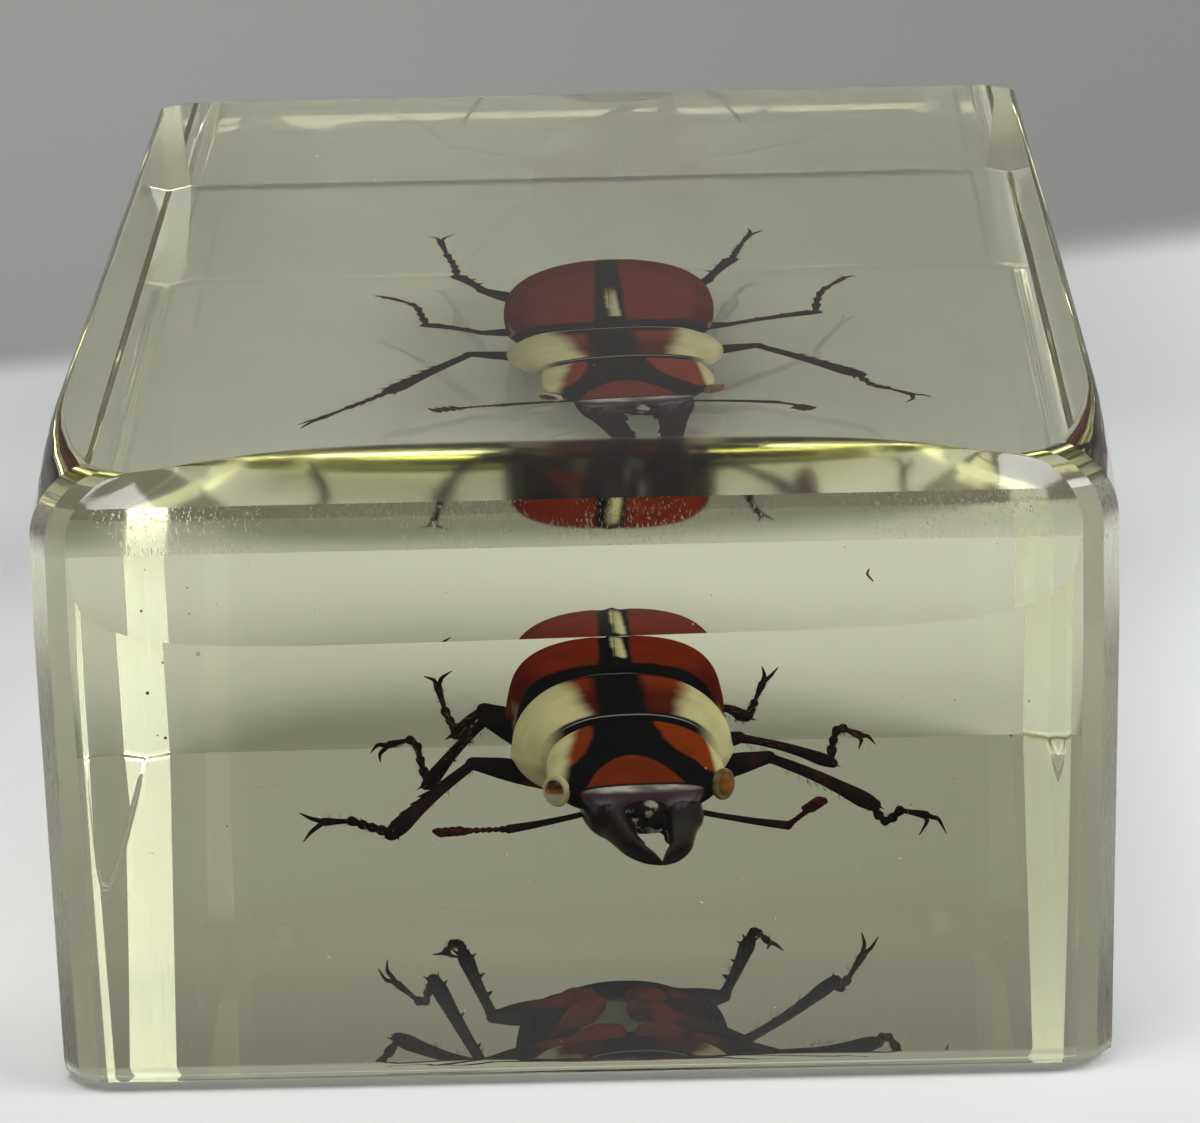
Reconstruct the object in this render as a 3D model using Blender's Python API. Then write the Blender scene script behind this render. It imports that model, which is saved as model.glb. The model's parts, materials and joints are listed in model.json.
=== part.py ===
"""A stag beetle sealed in a clear resin block.

The block is cast round the beetle. Here it is parted at the level where the legs are spread, so that the beetle
lies in a pocket between a lower and an upper half. Lengths are in millimetres until a mesh is made. The origin is
at the bottom centre of the block: +X is to the beetle's left, -Y is ahead of its mandibles, +Z is up.
"""

import math

import bmesh
import bpy
from mathutils import Matrix, Vector

MM = 0.001

# Resin block
BLOCK_WIDTH = 41.0
BLOCK_LENGTH = 73.0
BLOCK_HEIGHT = 24.0
DRAFT_DEG = 1.1  # the mould's taper, narrower towards the base
CORNER_RADIUS = 1.5
CORNER_STEPS = 4
BASE_RADIUS = 1.0
BASE_STEPS = 3
TOP_SIDE_RADIUS = 0.6
TOP_REAR_RADIUS = 1.4
PARTING_HEIGHT = 6.5
PARTING_GAP = 0.3

# Front edge of the block: a ground facet above a crease, a scratched bevel, and a rolled lip on the top face
FACET_HEIGHT = 17.5
BEVEL_HEIGHT = 21.2
LIP_HEIGHT = 23.0
FACET_RECESS = 0.34
BEVEL_RECESS = 0.74
LIP_LENGTH = 4.9
LIP_STEPS = 4

# Pocket round the beetle
POCKET_CLEARANCE = 0.5
POCKET_VOXEL = 0.4
POCKET_KEPT_FACES = 0.12

# Beetle: body stations are (distance behind the shoulders, half width, top, bottom)
BODY_CENTRE = (1.06, 0.0)
BODY_YAW_DEG = 6.3
SHOULDER_LEVEL = 7.2
ELYTRA_STATIONS = (
    (-0.7, 3.4, 10.0, 5.6),
    (-0.2, 4.2, 10.4, 5.2),
    (1.0, 4.6, 10.8, 5.0),
    (3.0, 4.8, 11.0, 4.9),
    (5.5, 4.8, 10.9, 5.0),
    (8.0, 4.55, 10.4, 5.2),
    (10.2, 3.85, 9.6, 5.5),
    (11.8, 2.8, 8.8, 5.9),
    (12.8, 1.6, 8.1, 6.3),
    (13.2, 0.7, 7.6, 6.7),
)
PRONOTUM_STATIONS = (
    (-7.3, 2.9, 7.8, 5.2),
    (-6.8, 3.9, 8.2, 4.8),
    (-5.4, 4.5, 9.1, 4.5),
    (-3.6, 4.75, 9.9, 4.4),
    (-2.0, 4.7, 10.4, 4.4),
    (-1.0, 4.3, 10.4, 4.7),
    (-0.3, 3.2, 9.9, 5.2),
)
HEAD_STATIONS = (
    (-11.6, 1.9, 6.5, 5.7),
    (-11.2, 2.35, 6.75, 5.4),
    (-10.4, 2.75, 7.0, 5.1),
    (-9.6, 3.3, 7.3, 4.9),
    (-8.4, 3.4, 7.7, 4.8),
    (-6.8, 3.0, 8.0, 4.9),
)
ELYTRA_SIDES = 28
PRONOTUM_SIDES = 24
HEAD_SIDES = 20
SUTURE_DEPTH = 0.18
SUTURE_WIDTH = 0.35
EYE_STATION = -9.4
EYE_OFFSET = 3.25
EYE_LEVEL = 6.35
EYE_RADIUS = 0.62

# Mandibles: (distance behind the shoulders, offset from the middle, height, radius)
MANDIBLE_STATIONS = (
    (-10.4, 1.55, 5.9, 0.85),
    (-11.8, 1.6, 5.8, 0.85),
    (-13.2, 1.3, 5.6, 0.62),
    (-14.6, 1.25, 5.5, 0.5),
    (-16.0, 1.15, 5.5, 0.46),
    (-17.2, 0.75, 5.5, 0.4),
    (-18.0, 0.22, 5.5, 0.24),
)
MANDIBLE_TOOTH = ((-16.0, 1.1, 5.5), (-16.3, 0.3, 5.5))

# Limbs, as joint positions of the block's own axes. A leg is coxa, knee, shin end, then the foot and its claws
LEGS = {
    "front_right": {
        "coxa": (0.1, -3.3, 5.3),
        "knee": (-4.7, -2.6, 6.5),
        "shin_end": (-8.0, -6.9, 4.4),
        "foot": ((-9.0, -9.2, 5.2), (-9.8, -10.9, 5.8), (-10.6, -12.3, 6.0)),
        "claws": (((-11.1, -13.0, 6.3), (-11.5, -13.9, 6.7)), ((-11.1, -12.9, 5.7), (-11.4, -13.4, 5.4))),
        "shin_radius": 0.4,
    },
    "front_left": {
        "coxa": (2.9, -3.1, 5.3),
        "knee": (7.4, -2.1, 6.4),
        "shin_end": (11.6, -6.4, 5.1),
        "foot": ((12.1, -7.7, 4.6), (12.9, -9.2, 5.5), (13.7, -10.0, 5.3)),
        "claws": (((14.2, -10.0, 5.1), (14.5, -9.9, 4.5)), ((13.7, -10.6, 5.1), (13.4, -10.7, 4.6))),
        "shin_radius": 0.4,
    },
    "middle_right": {
        "coxa": (-0.6, 1.6, 5.4),
        "knee": (-4.2, -0.1, 7.9),
        "shin_end": (-6.8, 4.5, 4.3),
        "foot": ((-7.1, 5.8, 5.1), (-7.4, 6.9, 5.8), (-8.5, 8.7, 5.3)),
        "claws": (((-9.0, 9.2, 5.2), (-9.3, 9.6, 4.8)), ((-8.9, 9.2, 4.8), (-8.9, 9.5, 4.4))),
        "shin_radius": 0.34,
    },
    "middle_left": {
        "coxa": (2.5, 1.6, 5.4),
        "knee": (6.2, 1.5, 6.6),
        "shin_end": (10.1, 4.9, 4.8),
        "foot": ((10.2, 6.4, 5.3), (10.5, 8.1, 5.7), (11.4, 10.7, 4.9)),
        "claws": (((11.8, 11.4, 4.7), (12.1, 11.7, 4.3)), ((11.5, 11.5, 4.5), (11.4, 11.8, 4.1))),
        "shin_radius": 0.34,
    },
    "hind_right": {
        "coxa": (-0.9, 5.2, 5.5),
        "knee": (-4.4, 8.5, 6.8),
        "shin_end": (-5.7, 12.9, 4.9),
        "foot": ((-5.9, 15.0, 4.9), (-6.3, 17.0, 5.3), (-6.6, 18.8, 6.0)),
        "claws": (((-6.4, 19.4, 6.3), (-6.0, 19.8, 6.5)), ((-6.8, 19.4, 6.2), (-7.2, 19.7, 6.3))),
        "shin_radius": 0.32,
    },
    "hind_left": {
        "coxa": (2.1, 5.5, 5.5),
        "knee": (5.4, 9.8, 6.4),
        "shin_end": (6.6, 15.0, 5.0),
        "foot": ((6.8, 16.4, 4.9), (7.1, 17.8, 5.3), (7.4, 18.8, 5.8)),
        "claws": (((7.5, 19.4, 6.1), (7.4, 19.8, 6.4)), ((7.8, 19.2, 6.1), (8.1, 19.4, 6.4))),
        "shin_radius": 0.32,
    },
}
ANTENNAE = {
    "right": {"base": (0.6, -10.3, 5.9), "elbow": (-3.2, -10.1, 5.1), "tip": (-6.0, -10.9, 5.15)},
    "left": {"base": (4.0, -10.7, 5.9), "elbow": (8.1, -10.6, 5.1), "tip": (9.5, -13.0, 6.6)},
}
THIGH_RADIUS = 0.62
FOOT_RADIUS = 0.2
CLAW_RADIUS = 0.11
FEELER_RADIUS = 0.17
CLUB_RADIUS = 0.27
SPINE_LENGTH = 0.55
SPINE_PLACES = (0.55, 0.75, 0.93)
LEG_SIDES = 8
FOOT_SIDES = 6
FOOT_STEPS = 3
CLAW_SIDES = 5


def clear_scene():
    for found in list(bpy.data.objects):
        bpy.data.objects.remove(found, do_unlink=True)


def make_material(name, colour, roughness, see_through=0.0, ior=1.5):
    material = bpy.data.materials.new(name)
    material.use_nodes = True
    shader = material.node_tree.nodes["Principled BSDF"]
    shader.inputs["Base Color"].default_value = (*colour, 1.0)
    shader.inputs["Roughness"].default_value = roughness
    shader.inputs["Transmission Weight"].default_value = see_through
    shader.inputs["IOR"].default_value = ior
    return material


def add_object(name, mesh_builder, material, helper=False):
    """Makes an object from a bmesh in millimetres. A helper only shapes other objects."""
    bmesh.ops.triangulate(mesh_builder, faces=mesh_builder.faces[:])
    bmesh.ops.recalc_face_normals(mesh_builder, faces=mesh_builder.faces[:])
    mesh_builder.transform(Matrix.Scale(MM, 4))
    mesh = bpy.data.meshes.new(name)
    mesh_builder.to_mesh(mesh)
    mesh_builder.free()
    mesh.materials.append(material)
    mesh.shade_smooth()
    mesh.set_sharp_from_angle(angle=math.radians(35))
    made = bpy.data.objects.new(name, mesh)
    bpy.context.scene.collection.objects.link(made)
    if helper:
        made.hide_render = True
        made.display_type = "WIRE"
    return made


def loft(builder, rings):
    """Joins rings of equal length by quads and closes both ends."""
    rows = [[builder.verts.new(point) for point in ring] for ring in rings]
    count = len(rows[0])
    for low, high in zip(rows[:-1], rows[1:]):
        for k in range(count):
            after = (k + 1) % count
            builder.faces.new((low[k], low[after], high[after], high[k]))
    builder.faces.new(rows[0][::-1])
    builder.faces.new(rows[-1])


def smooth_path(points, steps):
    """A Catmull-Rom curve through the points, with the same number of steps in each span."""
    knots = [Vector(points[0])] + [Vector(p) for p in points] + [Vector(points[-1])]
    path = []
    for a, b, c, d in zip(knots, knots[1:], knots[2:], knots[3:]):
        for k in range(steps):
            t = k / steps
            path.append(
                0.5 * (2 * b + (c - a) * t + (2 * a - 5 * b + 4 * c - d) * t**2 + (3 * b - a - 3 * c + d) * t**3)
            )
    return path + [knots[-1]]


def tube(builder, path, radii, sides):
    """A closed tube along the path, with one radius for each point and short tapered ends."""
    path = [Vector(p) for p in path]
    first = (path[1] - path[0]).normalized()
    last = (path[-1] - path[-2]).normalized()
    path = [path[0] - first * radii[0] * 0.5] + path + [path[-1] + last * radii[-1] * 0.5]
    radii = [radii[0] * 0.5] + list(radii) + [radii[-1] * 0.5]
    normal = first.orthogonal().normalized()
    rings = []
    for k, point in enumerate(path):
        along = (path[min(k + 1, len(path) - 1)] - path[max(k - 1, 0)]).normalized()
        normal = (normal - along * normal.dot(along)).normalized()
        across = along.cross(normal)
        turns = [2 * math.pi * s / sides for s in range(sides)]
        rings.append([point + radii[k] * (math.cos(t) * normal + math.sin(t) * across) for t in turns])
    loft(builder, rings)


def new_tube(path, radii, sides):
    builder = bmesh.new()
    tube(builder, path, radii, sides)
    return builder


# ---- Resin block ----


def draft_recess(height):
    return max(FACET_HEIGHT - height, 0.0) * math.tan(math.radians(DRAFT_DEG))


def round_recess(height, level, radius):
    """How far a quarter-round edge that starts at this level stands back from its face."""
    over = min(max(height - level, 0.0), radius)
    return radius - math.sqrt(radius**2 - over**2)


def base_recess(height):
    return round_recess(BASE_RADIUS - min(height, BASE_RADIUS), 0.0, BASE_RADIUS)


def lip_recess(height):
    """The top face rolls down towards the front along a parabola, from its flat to the lip."""
    share = math.sqrt((BLOCK_HEIGHT - height) / (BLOCK_HEIGHT - LIP_HEIGHT))
    return BEVEL_RECESS + FACET_RECESS + LIP_LENGTH * (1 - share)


def front_recess(height):
    if height > LIP_HEIGHT:
        return lip_recess(height)
    if height > BEVEL_HEIGHT:
        rise = (height - BEVEL_HEIGHT) / (LIP_HEIGHT - BEVEL_HEIGHT)
        return FACET_RECESS + BEVEL_RECESS * (0.35 * rise + 0.65 * rise**2)
    if height > FACET_HEIGHT:
        return FACET_RECESS * (height - FACET_HEIGHT) / (BEVEL_HEIGHT - FACET_HEIGHT)
    return draft_recess(height) + base_recess(height)


def rear_recess(height):
    return draft_recess(height) + base_recess(height) + round_recess(
        height, BLOCK_HEIGHT - TOP_REAR_RADIUS, TOP_REAR_RADIUS
    )


def side_recess(height):
    return draft_recess(height) + base_recess(height) + round_recess(
        height, BLOCK_HEIGHT - TOP_SIDE_RADIUS, TOP_SIDE_RADIUS
    )


def block_ring(height):
    """The block's outline at one height, with its four corners rounded."""
    half_x = BLOCK_WIDTH / 2 - side_recess(height)
    front = -BLOCK_LENGTH / 2 + front_recess(height)
    rear = BLOCK_LENGTH / 2 - rear_recess(height)
    corners = ((half_x, front, -90), (half_x, rear, 0), (-half_x, rear, 90), (-half_x, front, 180))
    ring = []
    for x, y, start in corners:
        centre_x = x - math.copysign(CORNER_RADIUS, x)
        centre_y = y + CORNER_RADIUS if y == front else y - CORNER_RADIUS
        for k in range(CORNER_STEPS + 1):
            turn = math.radians(start + 90 * k / CORNER_STEPS)
            ring.append(
                (centre_x + CORNER_RADIUS * math.cos(turn), centre_y + CORNER_RADIUS * math.sin(turn), height)
            )
    return ring


def base_heights():
    turns = [math.radians(90 * k / BASE_STEPS) for k in range(BASE_STEPS + 1)]
    return [BASE_RADIUS * (1 - math.cos(turn)) for turn in turns]


def top_heights():
    bevel = [BEVEL_HEIGHT + (LIP_HEIGHT - BEVEL_HEIGHT) * k / 3 for k in range(4)]
    lip = [BLOCK_HEIGHT - (BLOCK_HEIGHT - LIP_HEIGHT) * (1 - k / LIP_STEPS) ** 2 for k in range(1, LIP_STEPS + 1)]
    return [FACET_HEIGHT] + bevel + lip


def make_half(name, heights, pocket, material):
    """One half of the block, with the beetle's pocket cut from its parting face."""
    builder = bmesh.new()
    loft(builder, [block_ring(height) for height in heights])
    half = add_object(name, builder, material)
    cut = half.modifiers.new("pocket", "BOOLEAN")
    cut.operation = "DIFFERENCE"
    cut.object = pocket
    return half


# ---- Beetle ----


def on_body(station, offset, height):
    """A point given along and across the beetle's own axis."""
    yaw = math.radians(BODY_YAW_DEG)
    x = BODY_CENTRE[0] + offset * math.cos(yaw) - station * math.sin(yaw)
    y = BODY_CENTRE[1] + offset * math.sin(yaw) + station * math.cos(yaw)
    return (x, y, height)


def body_section(station, half_width, top, bottom, grow, sides, groove):
    """A boxy oval, widest at the shoulder level, with a groove along the middle of its top."""
    level = min(SHOULDER_LEVEL, (top + bottom) / 2 + 0.4)
    ring = []
    for k in range(sides):
        turn = 2 * math.pi * k / sides
        across = math.copysign(abs(math.cos(turn)) ** 0.8, math.cos(turn))
        offset = (half_width + grow) * across
        reach = (top + grow - level) if math.sin(turn) > 0 else (level - bottom + grow)
        height = level + reach * math.copysign(abs(math.sin(turn)) ** 0.9, math.sin(turn))
        if math.sin(turn) > 0:
            height -= groove * math.exp(-((offset / SUTURE_WIDTH) ** 2))
        ring.append(on_body(station, offset, height))
    return ring


def body_loft(stations, grow, sides, groove=0.0):
    """A body part lofted through its stations, lengthened at both ends by the growth."""
    builder = bmesh.new()
    rings = []
    for k, (station, half_width, top, bottom) in enumerate(stations):
        moved = station - grow if k == 0 else station + grow if k == len(stations) - 1 else station
        rings.append(body_section(moved, half_width, top, bottom, grow, sides, groove))
    loft(builder, rings)
    return builder


def make_eye(side, grow):
    builder = bmesh.new()
    bmesh.ops.create_uvsphere(builder, u_segments=12, v_segments=8, radius=EYE_RADIUS + grow)
    builder.transform(Matrix.Translation(on_body(EYE_STATION, side * EYE_OFFSET, EYE_LEVEL)))
    return builder


def make_mandible(side, grow):
    points = [on_body(s, side * offset, height) for s, offset, height, _ in MANDIBLE_STATIONS]
    radii = [radius + grow for *_, radius in MANDIBLE_STATIONS]
    return new_tube(points, radii, 10)


def make_tooth(side, grow):
    ends = [on_body(s, side * offset, height) for s, offset, height in MANDIBLE_TOOTH]
    return new_tube(ends, (0.3 + grow, 0.14 + grow), CLAW_SIDES)


def make_antenna(places, grow):
    """A long first joint, an elbow and a jointed lash that ends in a flat club."""
    lash = [Vector(places["elbow"]).lerp(Vector(places["tip"]), share) for share in (0, 0.3, 0.6, 0.8, 1)]
    path = [Vector(places["base"]), Vector(places["base"]).lerp(Vector(places["elbow"]), 0.5)] + lash
    radii = [FEELER_RADIUS] * 4 + [FEELER_RADIUS * 1.1, CLUB_RADIUS, CLUB_RADIUS * 0.8]
    return new_tube(path, [radius + grow for radius in radii], FOOT_SIDES)


def leg_tubes(leg, grow):
    """The thigh, shin, foot and claws of one leg, and the spines along its shin."""
    coxa, knee, shin_end = (Vector(leg[key]) for key in ("coxa", "knee", "shin_end"))
    shin_radius = leg["shin_radius"]
    thigh = [coxa.lerp(knee, share) for share in (0, 0.3, 0.65, 1)]
    yield new_tube(thigh, [THIGH_RADIUS * share + grow for share in (0.9, 1.0, 0.9, 0.6)], LEG_SIDES)
    shin = [knee.lerp(shin_end, share) for share in (0, 0.25, 0.6, 0.9, 1)]
    yield new_tube(shin, [shin_radius * share + grow for share in (0.8, 0.85, 1.0, 1.25, 0.95)], LEG_SIDES)
    foot = smooth_path((shin_end, *leg["foot"]), FOOT_STEPS)
    bulges = [FOOT_RADIUS * (1.15 if k % 2 else 0.85) for k in range(len(foot))]
    yield new_tube(foot, [radius + grow for radius in bulges], FOOT_SIDES)
    for claw in leg["claws"]:
        path = (leg["foot"][-1], *claw)
        radii = (CLAW_RADIUS * 1.4, CLAW_RADIUS, CLAW_RADIUS * 0.7)
        yield new_tube(path, [radius + grow for radius in radii], CLAW_SIDES)
    outward = (shin_end - knee).cross(Vector((0, 0, 1))).normalized()
    for place in SPINE_PLACES:
        root = knee.lerp(shin_end, place)
        side = 1 if outward.dot(knee - coxa) > 0 else -1
        tip = root + (outward * side * 0.9 + (shin_end - knee).normalized() * 0.5) * (SPINE_LENGTH + shin_radius)
        yield new_tube((root, tip), (0.16 + grow, 0.08 + grow), CLAW_SIDES)


def beetle_shapes(grow=0.0):
    """Every closed shape of the beetle, as bmeshes that overlap where they are joined."""
    yield body_loft(ELYTRA_STATIONS, grow, ELYTRA_SIDES, SUTURE_DEPTH)
    yield body_loft(PRONOTUM_STATIONS, grow, PRONOTUM_SIDES)
    yield body_loft(HEAD_STATIONS, grow, HEAD_SIDES)
    for side in (-1, 1):
        yield make_eye(side, grow)
        yield make_mandible(side, grow)
        yield make_tooth(side, grow)
    for places in ANTENNAE.values():
        yield make_antenna(places, grow)
    for leg in LEGS.values():
        yield from leg_tubes(leg, grow)


def make_beetle(material):
    """The beetle as one body: its first shape joined with all the others."""
    limbs = bpy.data.collections.new("beetle_shapes")
    bpy.context.scene.collection.children.link(limbs)
    shapes = beetle_shapes()
    beetle = add_object("stag_beetle", next(shapes), material)
    for k, shape in enumerate(shapes):
        helper = add_object(f"beetle_shape_{k:02d}", shape, material, helper=True)
        bpy.context.scene.collection.objects.unlink(helper)
        limbs.objects.link(helper)
    join = beetle.modifiers.new("join", "BOOLEAN")
    join.operation = "UNION"
    join.operand_type = "COLLECTION"
    join.collection = limbs
    return beetle


def make_pocket(material):
    """The space round the beetle: its shapes, grown by the clearance and melted into one skin."""
    builder = bmesh.new()
    for shape in beetle_shapes(POCKET_CLEARANCE):
        bmesh.ops.recalc_face_normals(shape, faces=shape.faces[:])
        piece = bpy.data.meshes.new("pocket_shape")
        shape.to_mesh(piece)
        shape.free()
        builder.from_mesh(piece)
        bpy.data.meshes.remove(piece)
    pocket = add_object("pocket_shape", builder, material, helper=True)
    skin = pocket.modifiers.new("skin", "REMESH")
    skin.mode = "VOXEL"
    skin.voxel_size = POCKET_VOXEL * MM
    fewer = pocket.modifiers.new("fewer", "DECIMATE")
    fewer.ratio = POCKET_KEPT_FACES
    return pocket


def main():
    clear_scene()
    resin = make_material("clear_resin", (0.93, 0.93, 0.76), 0.03, see_through=1.0, ior=1.54)
    chitin = make_material("dark_red_chitin", (0.16, 0.03, 0.015), 0.3)
    make_beetle(chitin)
    pocket = make_pocket(resin)
    parting_low = PARTING_HEIGHT - PARTING_GAP / 2
    parting_high = PARTING_HEIGHT + PARTING_GAP / 2
    make_half("resin_lower_half", base_heights() + [parting_low], pocket, resin)
    make_half("resin_upper_half", [parting_high] + top_heights(), pocket, resin)


main()
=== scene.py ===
"""The looks of a stag beetle sealed in a clear resin block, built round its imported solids.

Sizes are in millimetres until a mesh is made. The origin is at the bottom centre of the block:
+X is to the beetle's left, -Y is ahead of its mandibles and +Z is up.
"""

import json
import math

import bmesh
import bpy
import numpy as np
from mathutils import Matrix, Vector

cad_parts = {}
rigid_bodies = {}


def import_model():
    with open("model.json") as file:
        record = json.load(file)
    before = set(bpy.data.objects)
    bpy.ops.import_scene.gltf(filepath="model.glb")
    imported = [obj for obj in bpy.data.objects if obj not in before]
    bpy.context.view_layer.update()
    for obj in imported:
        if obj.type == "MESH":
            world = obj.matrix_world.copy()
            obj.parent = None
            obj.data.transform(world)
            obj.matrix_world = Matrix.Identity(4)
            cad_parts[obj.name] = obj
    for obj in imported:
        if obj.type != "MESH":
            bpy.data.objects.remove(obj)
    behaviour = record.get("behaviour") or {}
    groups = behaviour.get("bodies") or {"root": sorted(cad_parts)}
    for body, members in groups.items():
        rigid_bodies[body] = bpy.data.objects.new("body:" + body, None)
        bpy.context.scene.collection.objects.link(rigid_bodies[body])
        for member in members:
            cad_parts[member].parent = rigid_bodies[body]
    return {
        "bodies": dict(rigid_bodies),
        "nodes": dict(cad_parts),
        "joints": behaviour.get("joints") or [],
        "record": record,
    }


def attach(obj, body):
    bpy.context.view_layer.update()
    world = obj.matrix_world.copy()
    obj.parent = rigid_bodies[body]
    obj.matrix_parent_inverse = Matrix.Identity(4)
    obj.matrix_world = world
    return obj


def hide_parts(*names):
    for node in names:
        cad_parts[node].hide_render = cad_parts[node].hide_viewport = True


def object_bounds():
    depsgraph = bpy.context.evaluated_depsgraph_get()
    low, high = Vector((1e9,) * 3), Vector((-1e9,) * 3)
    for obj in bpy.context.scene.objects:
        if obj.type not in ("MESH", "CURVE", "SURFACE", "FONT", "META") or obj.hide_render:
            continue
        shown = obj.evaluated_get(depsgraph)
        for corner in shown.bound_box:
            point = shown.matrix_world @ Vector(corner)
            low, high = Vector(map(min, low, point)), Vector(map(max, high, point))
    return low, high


bl_info = {
    "name": "Stag beetle in resin",
    "version": (1, 0, 0),
    "blender": (4, 5, 0),
    "location": "3D View > Sidebar > Specimen",
    "description": "Builds a stag beetle sealed in a clear resin block",
    "category": "Object",
}

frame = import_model()
CAD_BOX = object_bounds()
MM = 0.001
BODY = "root"
HALVES = ("resin_lower_half", "resin_upper_half")
BEETLE_NODE = "stag_beetle"

BLOCK_LOW, BLOCK_HIGH = (corner / MM for corner in CAD_BOX)
BLOCK_WIDTH = BLOCK_HIGH.x - BLOCK_LOW.x
BLOCK_LENGTH = BLOCK_HIGH.y - BLOCK_LOW.y
BLOCK_HEIGHT = BLOCK_HIGH.z - BLOCK_LOW.z


# ---- Settings ----


def size_in_mm(name, default, description):
    return bpy.props.FloatProperty(name=name, description=f"{description}, in mm", default=default)


def shade(name, default, description):
    return bpy.props.FloatVectorProperty(
        name=name, description=description, default=default, size=3, subtype="COLOR"
    )


class BlockSettings(bpy.types.PropertyGroup):
    """Sizes of the resin block, and the look of its resin."""

    draft: bpy.props.FloatProperty(
        name="Draft",
        description="Taper of the sides towards the base",
        default=math.radians(1.1),
        subtype="ANGLE",
    )
    rear_cut: size_in_mm("Rear cut", 1.0, "Size of the flat cuts along the two rear upright edges")
    base_radius: size_in_mm("Base radius", 0.9, "Rounding of the front edge at the base")
    facet_height: size_in_mm("Facet height", 17.7, "Height of the crease below the ground facet")
    bevel_height: size_in_mm("Bevel height", 21.2, "Height at which the scratched bevel starts")
    lip_height: size_in_mm("Lip height", 22.9, "Height of the lip where the top face ends")
    lip_length: size_in_mm("Lip length", 4.8, "How far back the top face starts to slope down")
    ior: bpy.props.FloatProperty(
        name="IOR", description="Index of refraction of the resin", default=1.54
    )
    absorption: bpy.props.FloatProperty(
        name="Absorption", description="Density of the tint inside the resin", default=8.0
    )
    tint: shade("Tint", (0.93, 0.935, 0.36), "Colour that the resin lets through")


class BeetleSettings(bpy.types.PropertyGroup):
    """The main colours of the beetle."""

    black: shade("Black", (0.0035, 0.003, 0.0035), "Bands, edges and head")
    red: shade("Red", (0.13, 0.014, 0.002), "Wing cases")
    orange: shade("Orange", (0.18, 0.026, 0.003), "Patches at the sides of the head")
    # Cream is the shell's own colour on the flanks and eye rings; on the streak of the wing cases it is a
    # painted reflection.
    cream: shade("Cream", (0.50, 0.465, 0.27), "Flanks, eye rings and streak of the wing cases")
    # Painted highlights: silvery glints stand for the reflection of air where the resin has lifted.
    glint_silver: shade("Silver", (0.50, 0.50, 0.47), "Bright glints where the resin has lifted")
    # Painted sheen: violet stands for the reflection of air where the resin has lifted.
    violet: shade("Violet", (0.09, 0.075, 0.12), "Sheen where the resin has lifted")
    amber: shade("Amber", (0.26, 0.09, 0.012), "Eyes")


class StageSettings(bpy.types.PropertyGroup):
    """The camera and the plain surroundings."""

    camera_place: bpy.props.FloatVectorProperty(
        name="Camera place",
        description="Camera position in mm",
        default=(3.97, -273.976, 85.752),
        size=3,
    )
    camera_turn: bpy.props.FloatVectorProperty(
        name="Camera turn",
        description="Camera pitch, yaw and roll",
        default=(math.radians(15.3324), math.radians(-0.7219), math.radians(-1.4556)),
        size=3,
        subtype="EULER",
    )
    lens: size_in_mm("Lens", 197.508, "Focal length on a 36 mm sensor")
    floor_colour: shade("Floor colour", (0.62, 0.63, 0.62), "Colour of the pale floor")
    backdrop_colour: shade("Backdrop colour", (0.215, 0.216, 0.205), "Colour of the backdrop")


# ---- Meshes ----


def link_new(name, data):
    """Puts a new object with this data into the scene."""
    made = bpy.data.objects.new(name, data)
    bpy.context.scene.collection.objects.link(made)
    return made


def new_object(name, builder, material):
    """Makes an object from a bmesh in millimetres, with its faces pointing outwards."""
    bmesh.ops.recalc_face_normals(builder, faces=builder.faces[:])
    builder.transform(Matrix.Scale(MM, 4))
    for face in builder.faces:
        face.smooth = True
    mesh = bpy.data.meshes.new(name)
    builder.to_mesh(mesh)
    builder.free()
    mesh.materials.append(material)
    return link_new(name, mesh)


def full_turn(count):
    """Even angles all the way round."""
    return [2 * math.pi * k / count for k in range(count)]


def join_rings(builder, low, high):
    """Joins two closed rings of points by a band of faces."""
    faces = []
    for k in range(len(low)):
        after = (k + 1) % len(low)
        faces.append(builder.faces.new((low[k], low[after], high[after], high[k])))
    return faces


def finish_piece(piece, slot, *nodes):
    """Fixes a piece to the body and hides the solids that it stands for; the slot that it is given is not used.
    """
    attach(piece, BODY)
    if nodes:
        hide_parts(*nodes)


# ---- Node trees ----


def add_node(tree, kind, inputs=None, **settings):
    """Adds a node with its settings. An input is a plain value, or the output socket that feeds it."""
    node = tree.nodes.new(kind)
    for key, value in settings.items():
        setattr(node, key, value)
    for key, value in (inputs or {}).items():
        if isinstance(value, bpy.types.NodeSocket):
            tree.links.new(value, node.inputs[key])
        else:
            node.inputs[key].default_value = value
    return node


def maths(tree, operation, *values):
    return add_node(tree, "ShaderNodeMath", dict(enumerate(values)), operation=operation).outputs[0]


def ramp_between(tree, value, low, high):
    """A smooth step: 0 where the value is at low, 1 where it is at high."""
    settings = {"Value": value, "From Min": low, "From Max": high}
    node = add_node(tree, "ShaderNodeMapRange", settings, interpolation_type="SMOOTHSTEP")
    return node.outputs["Result"]


def mix_colour(tree, factor, first, second):
    node = add_node(tree, "ShaderNodeMix", data_type="RGBA")
    for key, value in ((0, factor), (6, first), (7, second)):
        if isinstance(value, bpy.types.NodeSocket):
            tree.links.new(value, node.inputs[key])
        else:
            node.inputs[key].default_value = value if key == 0 else (*value, 1.0)
    return node.outputs[2]


def noise(tree, place, scale, detail=3.0, roughness=0.5):
    settings = {"Vector": place, "Scale": scale, "Detail": detail, "Roughness": roughness}
    return add_node(tree, "ShaderNodeTexNoise", settings).outputs["Fac"]


def stretched(tree, place, scale):
    """The place in space with its axes scaled, for a pattern that runs along one of them."""
    return add_node(tree, "ShaderNodeMapping", {"Vector": place, "Scale": scale}).outputs["Vector"]


def bump(tree, height, strength, distance):
    settings = {"Strength": strength, "Distance": distance, "Height": height}
    return add_node(tree, "ShaderNodeBump", settings).outputs["Normal"]


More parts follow.
